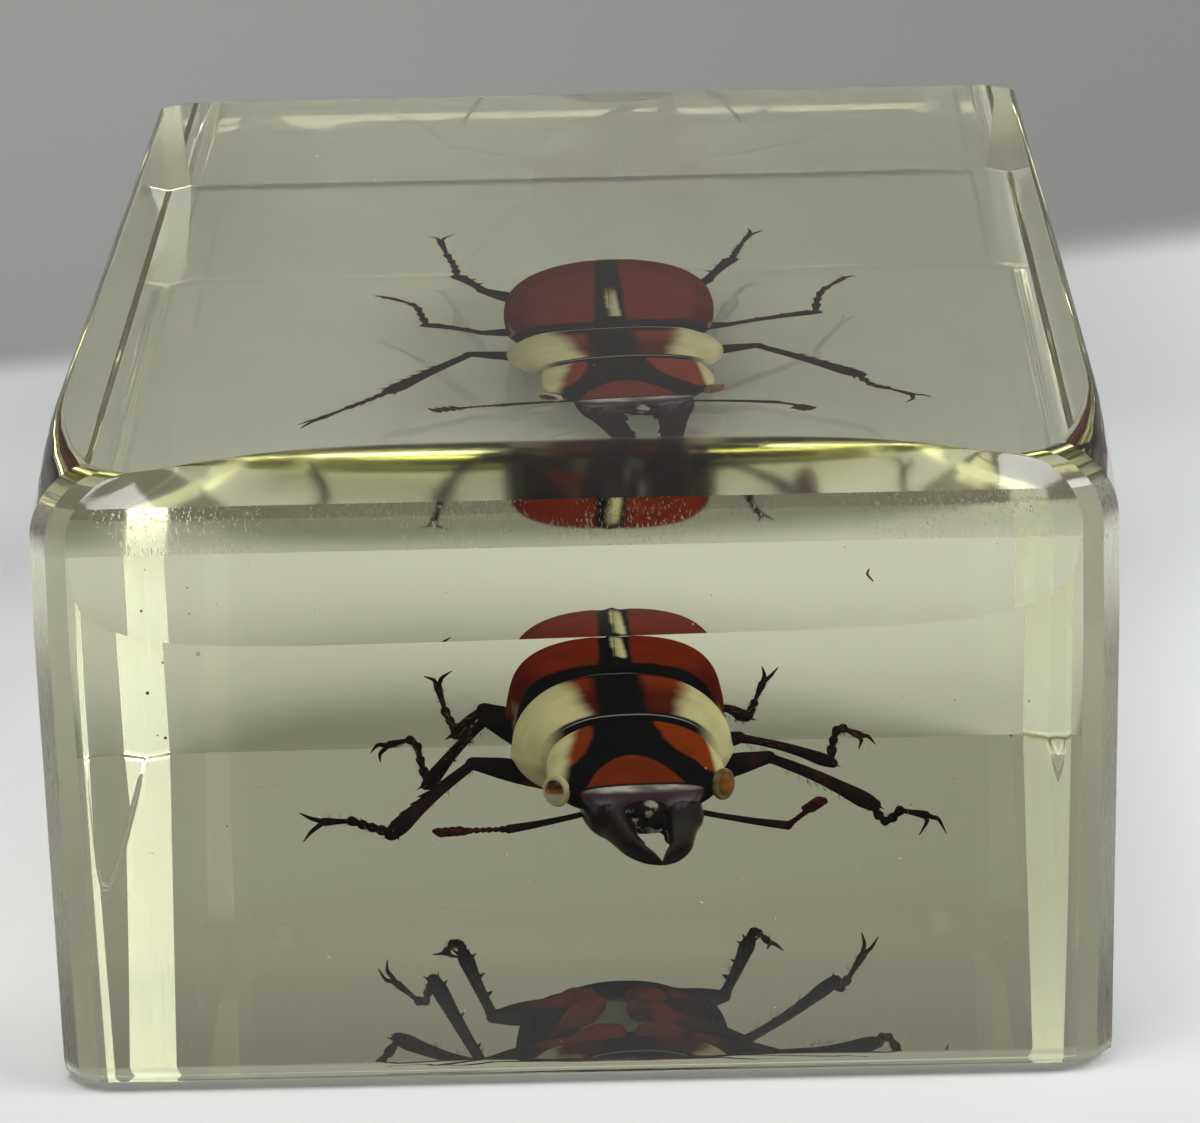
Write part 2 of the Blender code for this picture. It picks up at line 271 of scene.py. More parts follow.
class Field:
    """A number at each point of a surface, worked out by maths nodes."""

    def __init__(self, tree, socket):
        self.tree = tree
        self.socket = socket

    def joined(self, operation, *others):
        values = [other.socket if isinstance(other, Field) else other for other in others]
        return Field(self.tree, maths(self.tree, operation, self.socket, *values))

    def __add__(self, other):
        return self.joined("ADD", other)

    def __sub__(self, other):
        return self.joined("SUBTRACT", other)

    def __mul__(self, other):
        return self.joined("MULTIPLY", other)

    def size(self):
        return self.joined("ABSOLUTE")

    def most(self, other):
        return self.joined("MAXIMUM", other)

    def least(self, other):
        return self.joined("MINIMUM", other)

    def step(self, low, high):
        """0 where the number is at low, 1 where it is at high. Either may be the larger."""
        return Field(self.tree, ramp_between(self.tree, self.socket, low, high))


def painted(tree, base, *coats):
    """Lays coats over a base colour. Each coat is how much of it shows, and its colour."""
    colour = base
    for share, coat in coats:
        colour = mix_colour(tree, share.socket, colour, coat)
    return colour


def new_material(name):
    """A material with a plain Principled shader, its tree, the shader and object space."""
    material = bpy.data.materials.new(name)
    material.use_nodes = True
    tree = material.node_tree
    shader = tree.nodes["Principled BSDF"]
    place = tree.nodes.new("ShaderNodeTexCoord").outputs["Object"]
    return material, tree, shader, place


def set_inputs(tree, shader, **values):
    """Sets the shader's inputs by name, with underscores for the spaces."""
    for key, value in values.items():
        socket = shader.inputs[key.replace("_", " ")]
        if isinstance(value, bpy.types.NodeSocket):
            tree.links.new(value, socket)
        elif isinstance(value, tuple) and len(value) == 3:
            socket.default_value = (*value, 1.0)
        else:
            socket.default_value = value


# ---- Resin block ----

FRONT_COLUMNS = 72
SIDE_COLUMNS = 24
BASE_STEPS = 8
FACE_STEPS = 6
FACET_STEPS = 4
BEVEL_STEPS = 10
LIP_STEPS = 20
FACET_SLOPE = 0.053  # recess for each millimetre above the crease
CREASE_TILT = 0.012  # rise of the crease for each millimetre towards +X
CREASE_RISE = 1.6  # the crease curves up by this much at both sides
CREASE_REACH = 2.2
CREASE_GAP = 0.15  # the crease stays this far below the bevel
BEVEL_RECESS = 0.54
BEVEL_CURVE = 0.54  # the share of the recess that comes towards the bevel's top
EDGE_FALL = ((0.10, 0.22), (0.012, 1.6))  # depth and width of the front face's fall at its sides
LIP_SHARE_AT_SIDE = 0.25
LIP_TAPER = 5.0
LIP_TAPER_POWER = 1.5
LIP_CURVE = 1.9  # how evenly the top face steepens towards the lip
FRONT_FACETS = ((0.0, 1.45), (0.45, 0.65), (1.5, 0.0))  # back from the front, in from the side
BASE_SIDE_RADIUS = 0.15
TOP_SIDE_RADIUS = 0.5
TOP_CORNER_RADIUS = 2.4  # the top side edges are worn wider near the front
TOP_CORNER_REACH = (-22.0, -34.0)
TOP_REAR_RADIUS = 0.6
CHIP_FROM = 17.5  # the ground facet on the +X side is frosted white above this height
BEVEL_ROUGHNESS = 0.06
LIP_ROUGHNESS = 0.11
GROUND_ROUGHNESS = 0.5
OUTER_ROUGHNESS = 0.3
CHIP_ROUGHNESS = 0.75
REAR_CUT_ROUGHNESS = 0.22
SCRATCH_ROUGHNESS = 0.34
STREAK_SCALE = (15000.0, 15000.0, 250.0)  # fine across the block, long from top to bottom
PATCH_SCALE = 400.0
NORMAL_WEIGHT = 90  # how strongly the large faces set the shading at their edges


class BlockShape:
    """The outline of the block at every height, with its worked front edge."""

    def __init__(self, settings):
        self.settings = settings
        self.half_width = BLOCK_WIDTH / 2
        self.half_length = BLOCK_LENGTH / 2
        self.front_end = self.half_width - FRONT_FACETS[0][1]

    def draft_recess(self, height):
        return max(self.settings.facet_height - height, 0.0) * math.tan(self.settings.draft)

    @staticmethod
    def round_recess(over, radius):
        over = min(max(over, 0.0), radius)
        return radius - math.sqrt(radius**2 - over**2)

    def base_recess(self, height):
        return self.round_recess(self.settings.base_radius - height, self.settings.base_radius)

    def side_at(self, y, height):
        """Half the width at a place along the block."""
        first, last = TOP_CORNER_REACH
        share = min(max((first - y) / (first - last), 0.0), 1.0)
        top = TOP_SIDE_RADIUS + (TOP_CORNER_RADIUS - TOP_SIDE_RADIUS) * share**2
        base = self.round_recess(BASE_SIDE_RADIUS - height, BASE_SIDE_RADIUS)
        recess = self.draft_recess(height) + base
        return self.half_width - recess - self.round_recess(height - BLOCK_HEIGHT + top, top)

    def rear_at(self, height):
        over = height - BLOCK_HEIGHT + TOP_REAR_RADIUS
        return self.half_length - self.round_recess(over, TOP_REAR_RADIUS)

    def side_fall(self, x):
        distance = max(self.front_end - abs(x), 0.0)
        return sum(depth * math.exp(-distance / width) for depth, width in EDGE_FALL)

    def facet_start(self, x):
        """The height at which the facet would leave a flat front face."""
        distance = max(self.front_end - abs(x), 0.0)
        rise = CREASE_TILT * x + CREASE_RISE * math.exp(-distance / CREASE_REACH)
        return self.settings.facet_height + rise

    def crease_height(self, x):
        """The face falls back at its sides, so its crease with the facet rises further there."""
        crease = self.facet_start(x) + self.side_fall(x) / FACET_SLOPE
        return min(crease, self.settings.bevel_height - CREASE_GAP)

    def lip_reach(self, x):
        distance = max(self.front_end - abs(x), 0.0)
        taper = math.exp(-((distance / LIP_TAPER) ** LIP_TAPER_POWER))
        return self.settings.lip_length * (1 - (1 - LIP_SHARE_AT_SIDE) * taper)

    def front_recess(self, x, height):
        settings = self.settings
        if height <= self.crease_height(x):
            return self.draft_recess(height) + self.base_recess(height) + self.side_fall(x)
        facet = FACET_SLOPE * (min(height, settings.bevel_height) - self.facet_start(x))
        if height <= settings.bevel_height:
            return facet
        span = settings.lip_height - settings.bevel_height
        rise = (min(height, settings.lip_height) - settings.bevel_height) / span
        bevel = facet + BEVEL_RECESS * ((1 - BEVEL_CURVE) * rise + BEVEL_CURVE * rise**2)
        if height <= settings.lip_height:
            return bevel
        left = (BLOCK_HEIGHT - height) / (BLOCK_HEIGHT - settings.lip_height)
        return bevel + self.lip_reach(x) * (1 - left ** (1 / LIP_CURVE))

    def outline(self, height_at):
        """A ring of points round the block. Its height depends on the place across the front."""
        end = self.front_end
        columns = [end * math.sin(math.pi * (k / FRONT_COLUMNS - 0.5)) for k in range(FRONT_COLUMNS + 1)]
        ring = []
        for x in columns:
            height = height_at(x)
            width = self.side_at(-self.half_length, height) - FRONT_FACETS[0][1]
            ring.append((x * width / end, -self.half_length + self.front_recess(x, height), height))
        right = self.side(1, height_at(end))
        left = self.side(-1, height_at(-end))[::-1]
        ring += right
        for k in range(1, SIDE_COLUMNS):
            share = k / SIDE_COLUMNS
            ring.append(tuple(Vector(right[-1]).lerp(left[0], share)))
        return ring + left

    def side(self, sign, height):
        """The front facets, the side face and the cut of the rear edge, from front to rear."""
        front = -self.half_length + self.front_recess(sign * self.front_end, height)
        rear = self.rear_at(height)
        cut = self.settings.rear_cut
        found = []
        for back, inset in FRONT_FACETS[1:]:
            found.append((sign * (self.side_at(front + back, height) - inset), front + back, height))
        start = front + FRONT_FACETS[-1][0]
        for k in range(1, SIDE_COLUMNS + 1):
            y = start + (rear - cut - start) * k / SIDE_COLUMNS
            found.append((sign * self.side_at(y, height), y, height))
        found.append((sign * (self.side_at(rear, height) - cut), rear, height))
        return found

    @staticmethod
    def edge_columns():
        """The numbers of the ring's points that lie on the upright edges."""
        facets = len(FRONT_FACETS) - 1
        right = FRONT_COLUMNS + facets
        rear = right + SIDE_COLUMNS + 1
        left = rear + SIDE_COLUMNS
        front_edges = [0, *range(FRONT_COLUMNS, right + 1)]
        rear_edges = [rear - 1, rear, left, left + 1]
        return front_edges + rear_edges + [left + 1 + SIDE_COLUMNS, left + facets + SIDE_COLUMNS]

    def levels(self):
        """Every ring's height as a function of x, and the numbers of the rings that are creases."""
        settings = self.settings
        span = settings.lip_height - settings.bevel_height
        found = []
        for k in range(BASE_STEPS + 1):
            base = settings.base_radius * (1 - math.cos(math.radians(90 * k / BASE_STEPS)))
            found.append(lambda x, z=base: z)
        for k in range(1, FACE_STEPS + 1):
            share = k / FACE_STEPS
            found.append(lambda x, t=share: settings.base_radius * (1 - t) + self.crease_height(x) * t)
        creases = [len(found) - 1]
        for k in range(1, FACET_STEPS + 1):
            share = k / FACET_STEPS
            found.append(lambda x, t=share: self.crease_height(x) * (1 - t) + settings.bevel_height * t)
        creases.append(len(found) - 1)
        for k in range(1, BEVEL_STEPS + 1):
            bevel = settings.bevel_height + span * k / BEVEL_STEPS
            found.append(lambda x, z=bevel: z)
        creases.append(len(found) - 1)
        for k in range(1, LIP_STEPS + 1):
            drop = (BLOCK_HEIGHT - settings.lip_height) * (1 - k / LIP_STEPS) ** 2
            found.append(lambda x, z=BLOCK_HEIGHT - drop: z)
        return found, creases


def face_finish(column, count, number, creases, corner):
    """How rough a face of the block is and whether it is scratched, by its place in the rings."""
    in_lip = number >= creases[2]
    in_bevel = number >= creases[1] and not in_lip
    if column < FRONT_COLUMNS:
        return (BEVEL_ROUGHNESS, 1.0) if in_bevel else (LIP_ROUGHNESS * in_lip, 0.0)
    inward = min(column - FRONT_COLUMNS, count - 1 - column)
    if inward < 2 and in_lip:
        return LIP_ROUGHNESS, 0.0
    if inward == 0:
        chipped = corner.x > 0 and corner.z > CHIP_FROM
        return (CHIP_ROUGHNESS if chipped else GROUND_ROUGHNESS), 0.0
    if inward == 1:
        return OUTER_ROUGHNESS, 0.0
    return REAR_CUT_ROUGHNESS * (inward == 2 + SIDE_COLUMNS), 0.0


def resin_block_mesh(settings):
    """The closed skin of the block, ring by ring, with the creases of its front edge marked sharp."""
    shape = BlockShape(settings)
    levels, creases = shape.levels()
    builder = bmesh.new()
    rows = [[builder.verts.new(point) for point in shape.outline(level)] for level in levels]
    count = len(rows[0])
    rough = builder.faces.layers.float.new("roughness")
    scratched = builder.faces.layers.float.new("scratches")
    for number, (low, high) in enumerate(zip(rows[:-1], rows[1:])):
        for k, face in enumerate(join_rings(builder, low, high)):
            face[rough], face[scratched] = face_finish(k, count, number, creases, low[k].co)
    builder.faces.new(rows[0][::-1])
    builder.faces.new(rows[-1])
    for number in creases:
        for k in range(FRONT_COLUMNS):
            edge = builder.edges.get((rows[number][k], rows[number][k + 1]))
            edge.smooth = False
    for low, high in zip(rows[:-1], rows[1:]):
        for k in BlockShape.edge_columns():
            builder.edges.get((low[k], high[k])).smooth = False
    for k in range(FRONT_COLUMNS, count):
        builder.edges.get((rows[0][k], rows[0][(k + 1) % count])).smooth = False
    return builder


def clear_resin(settings):
    """Clear casting resin, dulled face by face and faintly tinted, with scratches on the bevel."""
    material, tree, shader, place = new_material("clear_resin")
    rough, scratches = (
        Field(tree, add_node(tree, "ShaderNodeAttribute", attribute_name=name).outputs["Fac"])
        for name in ("roughness", "scratches")
    )
    streaks = Field(tree, noise(tree, stretched(tree, place, STREAK_SCALE), 1.0, 1.0, 0.6))
    patches = Field(tree, noise(tree, place, PATCH_SCALE, 0.0))
    scraped = streaks.step(0.5, 0.72) * patches.step(0.25, 0.55) * scratches
    uneven = rough * (streaks * 0.8 + 0.6)
    set_inputs(
        tree,
        shader,
        Base_Color=(1.0, 1.0, 1.0),
        Transmission_Weight=1.0,
        IOR=settings.ior,
        Roughness=uneven.most(scraped * SCRATCH_ROUGHNESS).socket,
    )
    absorbed = {"Color": (*settings.tint, 1.0), "Density": settings.absorption}
    tint = add_node(tree, "ShaderNodeVolumeAbsorption", absorbed)
    output = tree.nodes["Material Output"]
    tree.links.new(tint.outputs["Volume"], output.inputs["Volume"])
    return material


class SPECIMEN_OT_resin_block(bpy.types.Operator):
    """Builds the clear block in place of its two parted halves"""

    bl_idname = "specimen.resin_block"
    bl_label = "Resin block"

    def execute(self, context):
        settings = context.scene.specimen_block
        block = new_object("resin_block", resin_block_mesh(settings), clear_resin(settings))
        weighted = block.modifiers.new("flat_face_normals", "WEIGHTED_NORMAL")
        weighted.keep_sharp = True
        weighted.weight = NORMAL_WEIGHT
        finish_piece(block, "clear_resin", *HALVES)
        return {"FINISHED"}


# ---- Shapes of the beetle ----

BODY_CENTRE = 1.06
BODY_YAW = math.radians(6.3)
SHOULDER_LEVEL = 7.2
SECTION_WIDTH_POWER = 0.8
SECTION_HEIGHT_POWER = 0.9
WING_HEIGHT_POWER = 0.66  # the wing cases are broader and flatter on top than the rest

# Stations along the body: distance behind the shoulders, half width, top and bottom
ELYTRA_STATIONS = (
    (-0.95, 3.6, 9.95, 5.9),
    (-0.5, 4.05, 10.2, 5.75),
    (0.6, 4.3, 10.42, 5.6),
    (2.6, 4.46, 10.55, 5.5),
    (5.2, 4.46, 10.4, 5.5),
    (7.8, 4.22, 9.95, 5.6),
    (10.1, 3.6, 9.25, 5.8),
    (11.8, 2.6, 8.6, 6.1),
    (12.8, 1.5, 8.0, 6.5),
    (13.2, 0.65, 7.6, 6.8),
)
PRONOTUM_STATIONS = (
    (-5.75, 3.25, 8.8, 5.6),
    (-5.2, 3.85, 9.15, 5.3),
    (-4.2, 4.3, 9.55, 5.2),
    (-3.2, 4.5, 9.85, 5.2),
    (-2.3, 4.4, 10.05, 5.3),
    (-1.5, 4.0, 10.05, 5.5),
    (-0.8, 3.2, 9.6, 5.8),
)
HEAD_STATIONS = (
    (-12.0, 1.5, 6.1, 5.7),
    (-11.6, 1.95, 6.5, 5.65),
    (-11.15, 2.3, 6.85, 5.6),
    (-10.4, 2.85, 7.2, 5.6),
    (-9.5, 3.45, 7.6, 5.5),
    (-8.2, 3.6, 8.05, 5.4),
    (-7.0, 3.5, 8.45, 5.4),
    (-5.9, 3.3, 8.75, 5.5),
    (-5.0, 3.0, 8.8, 5.7),
)
ABDOMEN_STATIONS = (
    (0.0, 3.6, 8.6, 5.65),
    (3.0, 4.05, 9.0, 5.5),
    (6.0, 4.05, 9.0, 5.5),
    (9.0, 3.6, 8.7, 5.65),
    (11.6, 2.5, 8.1, 6.0),
    (12.8, 1.45, 7.7, 6.5),
    (13.3, 0.55, 7.3, 6.9),
)

# Stations along each mandible, its teeth and the palps: distance behind the shoulders, offset from
# the middle, height and radius
MANDIBLE_STATIONS = (
    (-9.8, 1.6, 5.85, 0.85),
    (-10.8, 1.6, 5.8, 0.86),
    (-12.0, 1.5, 5.7, 0.82),
    (-13.2, 1.32, 5.6, 0.66),
    (-14.6, 1.14, 5.45, 0.55),
    (-16.0, 0.93, 5.3, 0.46),
    (-17.1, 0.5, 5.15, 0.35),
    (-18.0, 0.08, 5.05, 0.12),
)
MIDDLE_TOOTH = ((-14.8, 1.05, 5.45, 0.4), (-15.2, 0.72, 5.42, 0.26), (-15.4, 0.5, 5.4, 0.08))
BASE_TOOTH = ((-12.3, 1.2, 5.75, 0.5), (-12.9, 0.85, 5.65, 0.36), (-13.3, 0.6, 5.55, 0.1))
PALP = ((-11.6, 0.6, 5.2, 0.11), (-12.0, 0.8, 5.05, 0.10), (-12.4, 0.8, 4.95, 0.13))
MOUTH_LOBES = (  # the middle of each lobe, and its radii along, across and up
    ((-11.9, 0.0, 6.1), (0.75, 0.95, 0.4)),
    ((-12.1, 0.35, 5.75), (0.8, 0.45, 0.36)),
    ((-12.0, -0.4, 5.75), (0.75, 0.42, 0.34)),
    ((-11.7, 0.0, 5.45), (0.8, 1.25, 0.35)),
)
EYE_PLACE = (-9.9, 3.35, 6.7)
EYE_RADIUS = 0.52
EYE_TURN = math.radians(45)  # the eyes face forward and outward
EYE_RING = (0.52, 0.15, 0.06)  # radius of the ring, thickness of its tube, and how far it stands out
WING_SHIFT = 0.14  # the wing cases and the abdomen sit slightly to +X of the fore body
WING_TURN = 0.09  # and turn a little towards +X, for each millimetre behind the shoulders
PRONOTUM_FRONT = -5.62
FRONT_CURVE = 0.05  # how far the front margin of the pronotum comes forward at its sides

# Joints of the legs and the antennae, in the block's own axes
LEGS = {
    "front_right": {
        "coxa": (0.1, -3.3, 5.3),
        "knee": (-4.7, -2.6, 6.5),
        "shin_end": (-8.0, -6.9, 4.4),
        "foot": ((-9.0, -9.2, 5.2), (-9.8, -10.9, 5.8), (-10.6, -12.3, 6.0)),
        "claws": (((-11.1, -13.0, 6.3), (-11.5, -13.9, 6.7)), ((-11.1, -12.9, 5.7), (-11.4, -13.4, 5.4))),
        "shin_radius": 0.4,
    },
    "front_left": {
        "coxa": (2.9, -3.1, 5.3),
        "knee": (7.4, -2.1, 6.4),
        "shin_end": (11.6, -6.4, 5.1),
        "foot": ((12.1, -7.7, 4.6), (12.9, -9.2, 5.5), (13.7, -10.0, 5.3)),
        "claws": (((14.2, -10.0, 5.1), (14.5, -9.9, 4.5)), ((13.7, -10.6, 5.1), (13.4, -10.7, 4.6))),
        "shin_radius": 0.4,
    },
    "middle_right": {
        "coxa": (-0.6, 1.6, 5.4),
        "knee": (-4.2, -0.1, 7.9),
        "shin_end": (-6.8, 4.5, 4.3),
        "foot": ((-7.1, 5.8, 5.1), (-7.4, 6.9, 5.8), (-8.5, 8.7, 5.3)),
        "claws": (((-9.0, 9.2, 5.2), (-9.3, 9.6, 4.8)), ((-8.9, 9.2, 4.8), (-8.9, 9.5, 4.4))),
        "shin_radius": 0.34,
    },
    "middle_left": {
        "coxa": (2.5, 1.6, 5.4),
        "knee": (6.2, 1.5, 6.6),
        "shin_end": (10.1, 4.9, 4.8),
        "foot": ((10.2, 6.4, 5.3), (10.5, 8.1, 5.7), (11.4, 10.7, 4.9)),
        "claws": (((11.8, 11.4, 4.7), (12.1, 11.7, 4.3)), ((11.5, 11.5, 4.5), (11.4, 11.8, 4.1))),
        "shin_radius": 0.34,
    },
    "hind_right": {
        "coxa": (-0.9, 5.2, 5.5),
        "knee": (-4.4, 8.5, 6.8),
        "shin_end": (-5.7, 12.9, 4.9),
        "foot": ((-5.9, 15.0, 4.9), (-6.3, 17.0, 5.3), (-6.6, 18.8, 6.0)),
        "claws": (((-6.4, 19.4, 6.3), (-6.0, 19.8, 6.5)), ((-6.8, 19.4, 6.2), (-7.2, 19.7, 6.3))),
        "shin_radius": 0.32,
    },
    "hind_left": {
        "coxa": (2.1, 5.5, 5.5),
        "knee": (5.4, 9.8, 6.4),
        "shin_end": (6.6, 15.0, 5.0),
        "foot": ((6.8, 16.4, 4.9), (7.1, 17.8, 5.3), (7.4, 18.8, 5.8)),
        "claws": (((7.5, 19.4, 6.1), (7.4, 19.8, 6.4)), ((7.8, 19.2, 6.1), (8.1, 19.4, 6.4))),
        "shin_radius": 0.32,
    },
}
ANTENNAE = {
    "right": {"base": (0.6, -10.3, 5.9), "elbow": (-3.2, -10.1, 5.1), "tip": (-6.0, -10.9, 5.15)},
    "left": {"base": (4.0, -10.7, 5.9), "elbow": (8.1, -10.6, 5.1), "tip": (9.5, -13.0, 6.6)},
}
UP = Vector((0.0, 0.0, 1.0))
ROUND_END_ANGLES = (75, 50, 25)
THINNEST_RADIUS = 0.01


def on_body(along, across, height):
    """A point given behind the shoulders, across the body's axis and up, in the block's own axes."""
    x = BODY_CENTRE + across * math.cos(BODY_YAW) - along * math.sin(BODY_YAW)
    return Vector((x, across * math.sin(BODY_YAW) + along * math.cos(BODY_YAW), height))


def hump(value, centre, width):
    """A smooth bump of height 1 round a centre."""
    return math.exp(-(((value - centre) / width) ** 2))


def smooth_rows(stations, steps):
    """Rows read at even steps off a smooth curve through the stations."""
    table = np.array(stations, dtype=float)
    slopes = np.gradient(table, axis=0)
    found = []
    for place in np.linspace(0.0, len(table) - 1.0, steps):
        k = min(int(place), len(table) - 2)
        t = place - k
        start = (2 * t**3 - 3 * t**2 + 1) * table[k] + (t**3 - 2 * t**2 + t) * slopes[k]
        end = (3 * t**2 - 2 * t**3) * table[k + 1] + (t**3 - t**2) * slopes[k + 1]
        found.append(start + end)
    return found


def section_point(row, turn, height_power=SECTION_HEIGHT_POWER):
    """A point of a body section, by its angle from the left side over the top, as across and height."""
    half_width, top, bottom = row[1:4]
    level = min(SHOULDER_LEVEL, (top + bottom) / 2 + 0.4)
    across = math.copysign(abs(math.cos(turn)) ** SECTION_WIDTH_POWER, math.cos(turn)) * half_width
    rise = abs(math.sin(turn)) ** height_power
    height = level + rise * (top - level) if math.sin(turn) > 0 else level - rise * (level - bottom)
    return across, height


def add_skin(builder, rows):
    """Joins rings of points into a closed skin with a pole at each end."""
    made = [[builder.verts.new(point) for point in row] for row in rows]
    count = len(made[0])
    for low, high in zip(made[:-1], made[1:]):
        join_rings(builder, low, high)
    for row in (made[0], made[-1]):
        centre = builder.verts.new(sum((vertex.co for vertex in row), Vector()) / count)
        for k in range(count):
            builder.faces.new((row[k], row[(k + 1) % count], centre))


def add_wall(builder, outer, inner):
    """Joins two grids of points into a closed wall, with a rim between its two skins."""
    skins = [[[builder.verts.new(point) for point in row] for row in grid] for grid in (outer, inner)]
    rows, columns = len(outer), len(outer[0])
    for skin in skins:
        for low, high in zip(skin[:-1], skin[1:]):
            for k in range(columns - 1):
                builder.faces.new((low[k], low[k + 1], high[k + 1], high[k]))
    rim = [(0, k) for k in range(columns)] + [(r, columns - 1) for r in range(1, rows)]
    rim += [(rows - 1, k) for k in range(columns - 2, -1, -1)] + [(r, 0) for r in range(rows - 2, 0, -1)]
    for (r, k), (s, m) in zip(rim, rim[1:] + rim[:1]):
        builder.faces.new((skins[0][r][k], skins[0][s][m], skins[1][s][m], skins[1][r][k]))


def add_body(builder, stations, steps, sides, shaped=None):
    """A closed body part through its stations. shaped may move the points of its sections."""
    rings = []
    for row in smooth_rows(stations, steps):
        ring = []
        for turn in full_turn(sides):
            across, height = section_point(row, turn)
            along = row[0]
            if shaped is not None:
                along, across, height = shaped(along, across, height, row)
            ring.append(on_body(along, across, height))
        rings.append(ring)
    add_skin(builder, rings)


def path_frames(points, up=UP):
    """The direction along a path at each point, with two directions square to it that turn smoothly."""
    points = [Vector(point) for point in points]
    found = []
    for k, point in enumerate(points):
        ahead = (points[min(k + 1, len(points) - 1)] - points[max(k - 1, 0)]).normalized()
        up = (up - up.dot(ahead) * ahead).normalized()
        found.append((point, ahead, up.cross(ahead), up))
    return found


def add_limb(builder, stations, steps, sides, flat=1.0, up=UP):
    """A smooth tube with round ends through stations of x, y, z and radius, squeezed along up."""
    rows = smooth_rows(stations, steps)
    frames = path_frames([row[:3] for row in rows], up)
    sized = [(frame, max(row[3], THINNEST_RADIUS), 0.0) for frame, row in zip(frames, rows)]
    turns = [math.radians(angle) for angle in ROUND_END_ANGLES]
    (first, start, _), (last, end, _) = sized[0], sized[-1]
    starts = [(first, start * math.cos(turn), -start * math.sin(turn)) for turn in turns]
    ends = [(last, end * math.cos(turn), end * math.sin(turn)) for turn in reversed(turns)]
    rings = []
    for (point, ahead, side, lift), radius, shift in starts + sized + ends:
        ring = []
        for turn in full_turn(sides):
            spoke = side * math.cos(turn) + lift * math.sin(turn) * flat
            ring.append(point + ahead * shift + spoke * radius)
        rings.append(ring)
    add_skin(builder, rings)


def stations_between(start, end, shares, radii, bow=Vector()):
    """Stations of a limb between two points, bowed sideways by most at its middle."""
    start, end = Vector(start), Vector(end)
    found = []
    for share, radius in zip(shares, radii):
        point = start.lerp(end, share) + bow * math.sin(math.pi * share)
        found.append((*point, radius))
    return found


# ---- Small parts that repeat ----


def repeat_tree():
    """Geometry nodes that put a bead at every point, turned to its `aim` and sized by its `stretch`."""
    tree = bpy.data.node_groups.new("repeat_bead", "GeometryNodeTree")
    sockets = {
        "Points": "Geometry",
        "Bead": "Object",
        "Finish": "Material",
        "Variation": "Float",
        "Seed": "Int",
    }
    for name, kind in sockets.items():
        tree.interface.new_socket(name, in_out="INPUT", socket_type="NodeSocket" + kind)
    tree.interface.new_socket("Beads", in_out="OUTPUT", socket_type="NodeSocketGeometry")
    given = tree.nodes.new("NodeGroupInput").outputs
    points = add_node(tree, "GeometryNodeMeshToPoints", {"Mesh": given["Points"]})
    bead = add_node(tree, "GeometryNodeObjectInfo", {"Object": given["Bead"]})
    aim, stretch = (
        add_node(tree, "GeometryNodeInputNamedAttribute", {"Name": name}, data_type="FLOAT_VECTOR")
        for name in ("aim", "stretch")
    )
    direction = {"Vector": aim.outputs["Attribute"]}
    turned = add_node(tree, "FunctionNodeAlignRotationToVector", direction, axis="Z")
    spread = maths(tree, "MULTIPLY", given["Variation"], -1.0)
    low = maths(tree, "ADD", spread, 1.0)
    high = maths(tree, "ADD", given["Variation"], 1.0)
    limits = {2: low, 3: high, "Seed": given["Seed"]}
    chance = add_node(tree, "FunctionNodeRandomValue", limits, data_type="FLOAT").outputs[1]
    sized = {0: stretch.outputs["Attribute"], "Scale": chance}
    size = add_node(tree, "ShaderNodeVectorMath", sized, operation="SCALE")
    placed = add_node(
        tree,
        "GeometryNodeInstanceOnPoints",
        {
            "Points": points.outputs["Points"],
            "Instance": bead.outputs["Geometry"],
            "Rotation": turned.outputs["Rotation"],
            "Scale": size.outputs["Vector"],
        },
    )
    real = add_node(tree, "GeometryNodeRealizeInstances", {"Geometry": placed.outputs["Instances"]})
    finish = {"Geometry": real.outputs["Geometry"], "Material": given["Finish"]}
    coated = add_node(tree, "GeometryNodeSetMaterial", finish)
    leaving = tree.nodes.new("NodeGroupOutput")
    tree.links.new(coated.outputs["Geometry"], leaving.inputs["Beads"])
    return tree


def turned_bead(name, profile, sides):
    """A small closed bead turned round +Z from (height, radius) pairs, one unit long."""
    builder = bmesh.new()
    rings = []
    for height, radius in profile:
        rings.append(
            [(radius * math.cos(turn), radius * math.sin(turn), height) for turn in full_turn(sides)]
        )
    add_skin(builder, rings)
    bmesh.ops.recalc_face_normals(builder, faces=builder.faces[:])
    mesh = bpy.data.meshes.new(name)
    builder.to_mesh(mesh)
    builder.free()
    mesh.shade_smooth()
    return link_new(name, mesh)


def repeated(name, bead, spots, material, variation, seed):
    """One plain mesh of beads. Each spot is a place, a direction and a size on each axis."""
    mesh = bpy.data.meshes.new(name)
    mesh.from_pydata([Vector(spot[0]) * MM for spot in spots], [], [])
    for key, column in (("aim", 1), ("stretch", 2)):
        attribute = mesh.attributes.new(key, "FLOAT_VECTOR", "POINT")
        scale = MM if key == "stretch" else 1.0
        for item, spot in zip(attribute.data, spots):
            item.vector = Vector(spot[column]) * scale
    made = link_new(name, mesh)
    tree = bpy.data.node_groups.get("repeat_bead") or repeat_tree()
    nodes = made.modifiers.new("repeat", "NODES")
    nodes.node_group = tree
    values = {"Bead": bead, "Finish": material, "Variation": variation, "Seed": seed}
    for item in tree.interface.items_tree:
        if item.name in values:
            nodes[item.identifier] = values[item.name]
    graph = bpy.context.evaluated_depsgraph_get()
    made.data = bpy.data.meshes.new_from_object(made.evaluated_get(graph))
    made.modifiers.clear()
    bpy.data.objects.remove(bead)
    return made


# ---- Finishes of the beetle ----

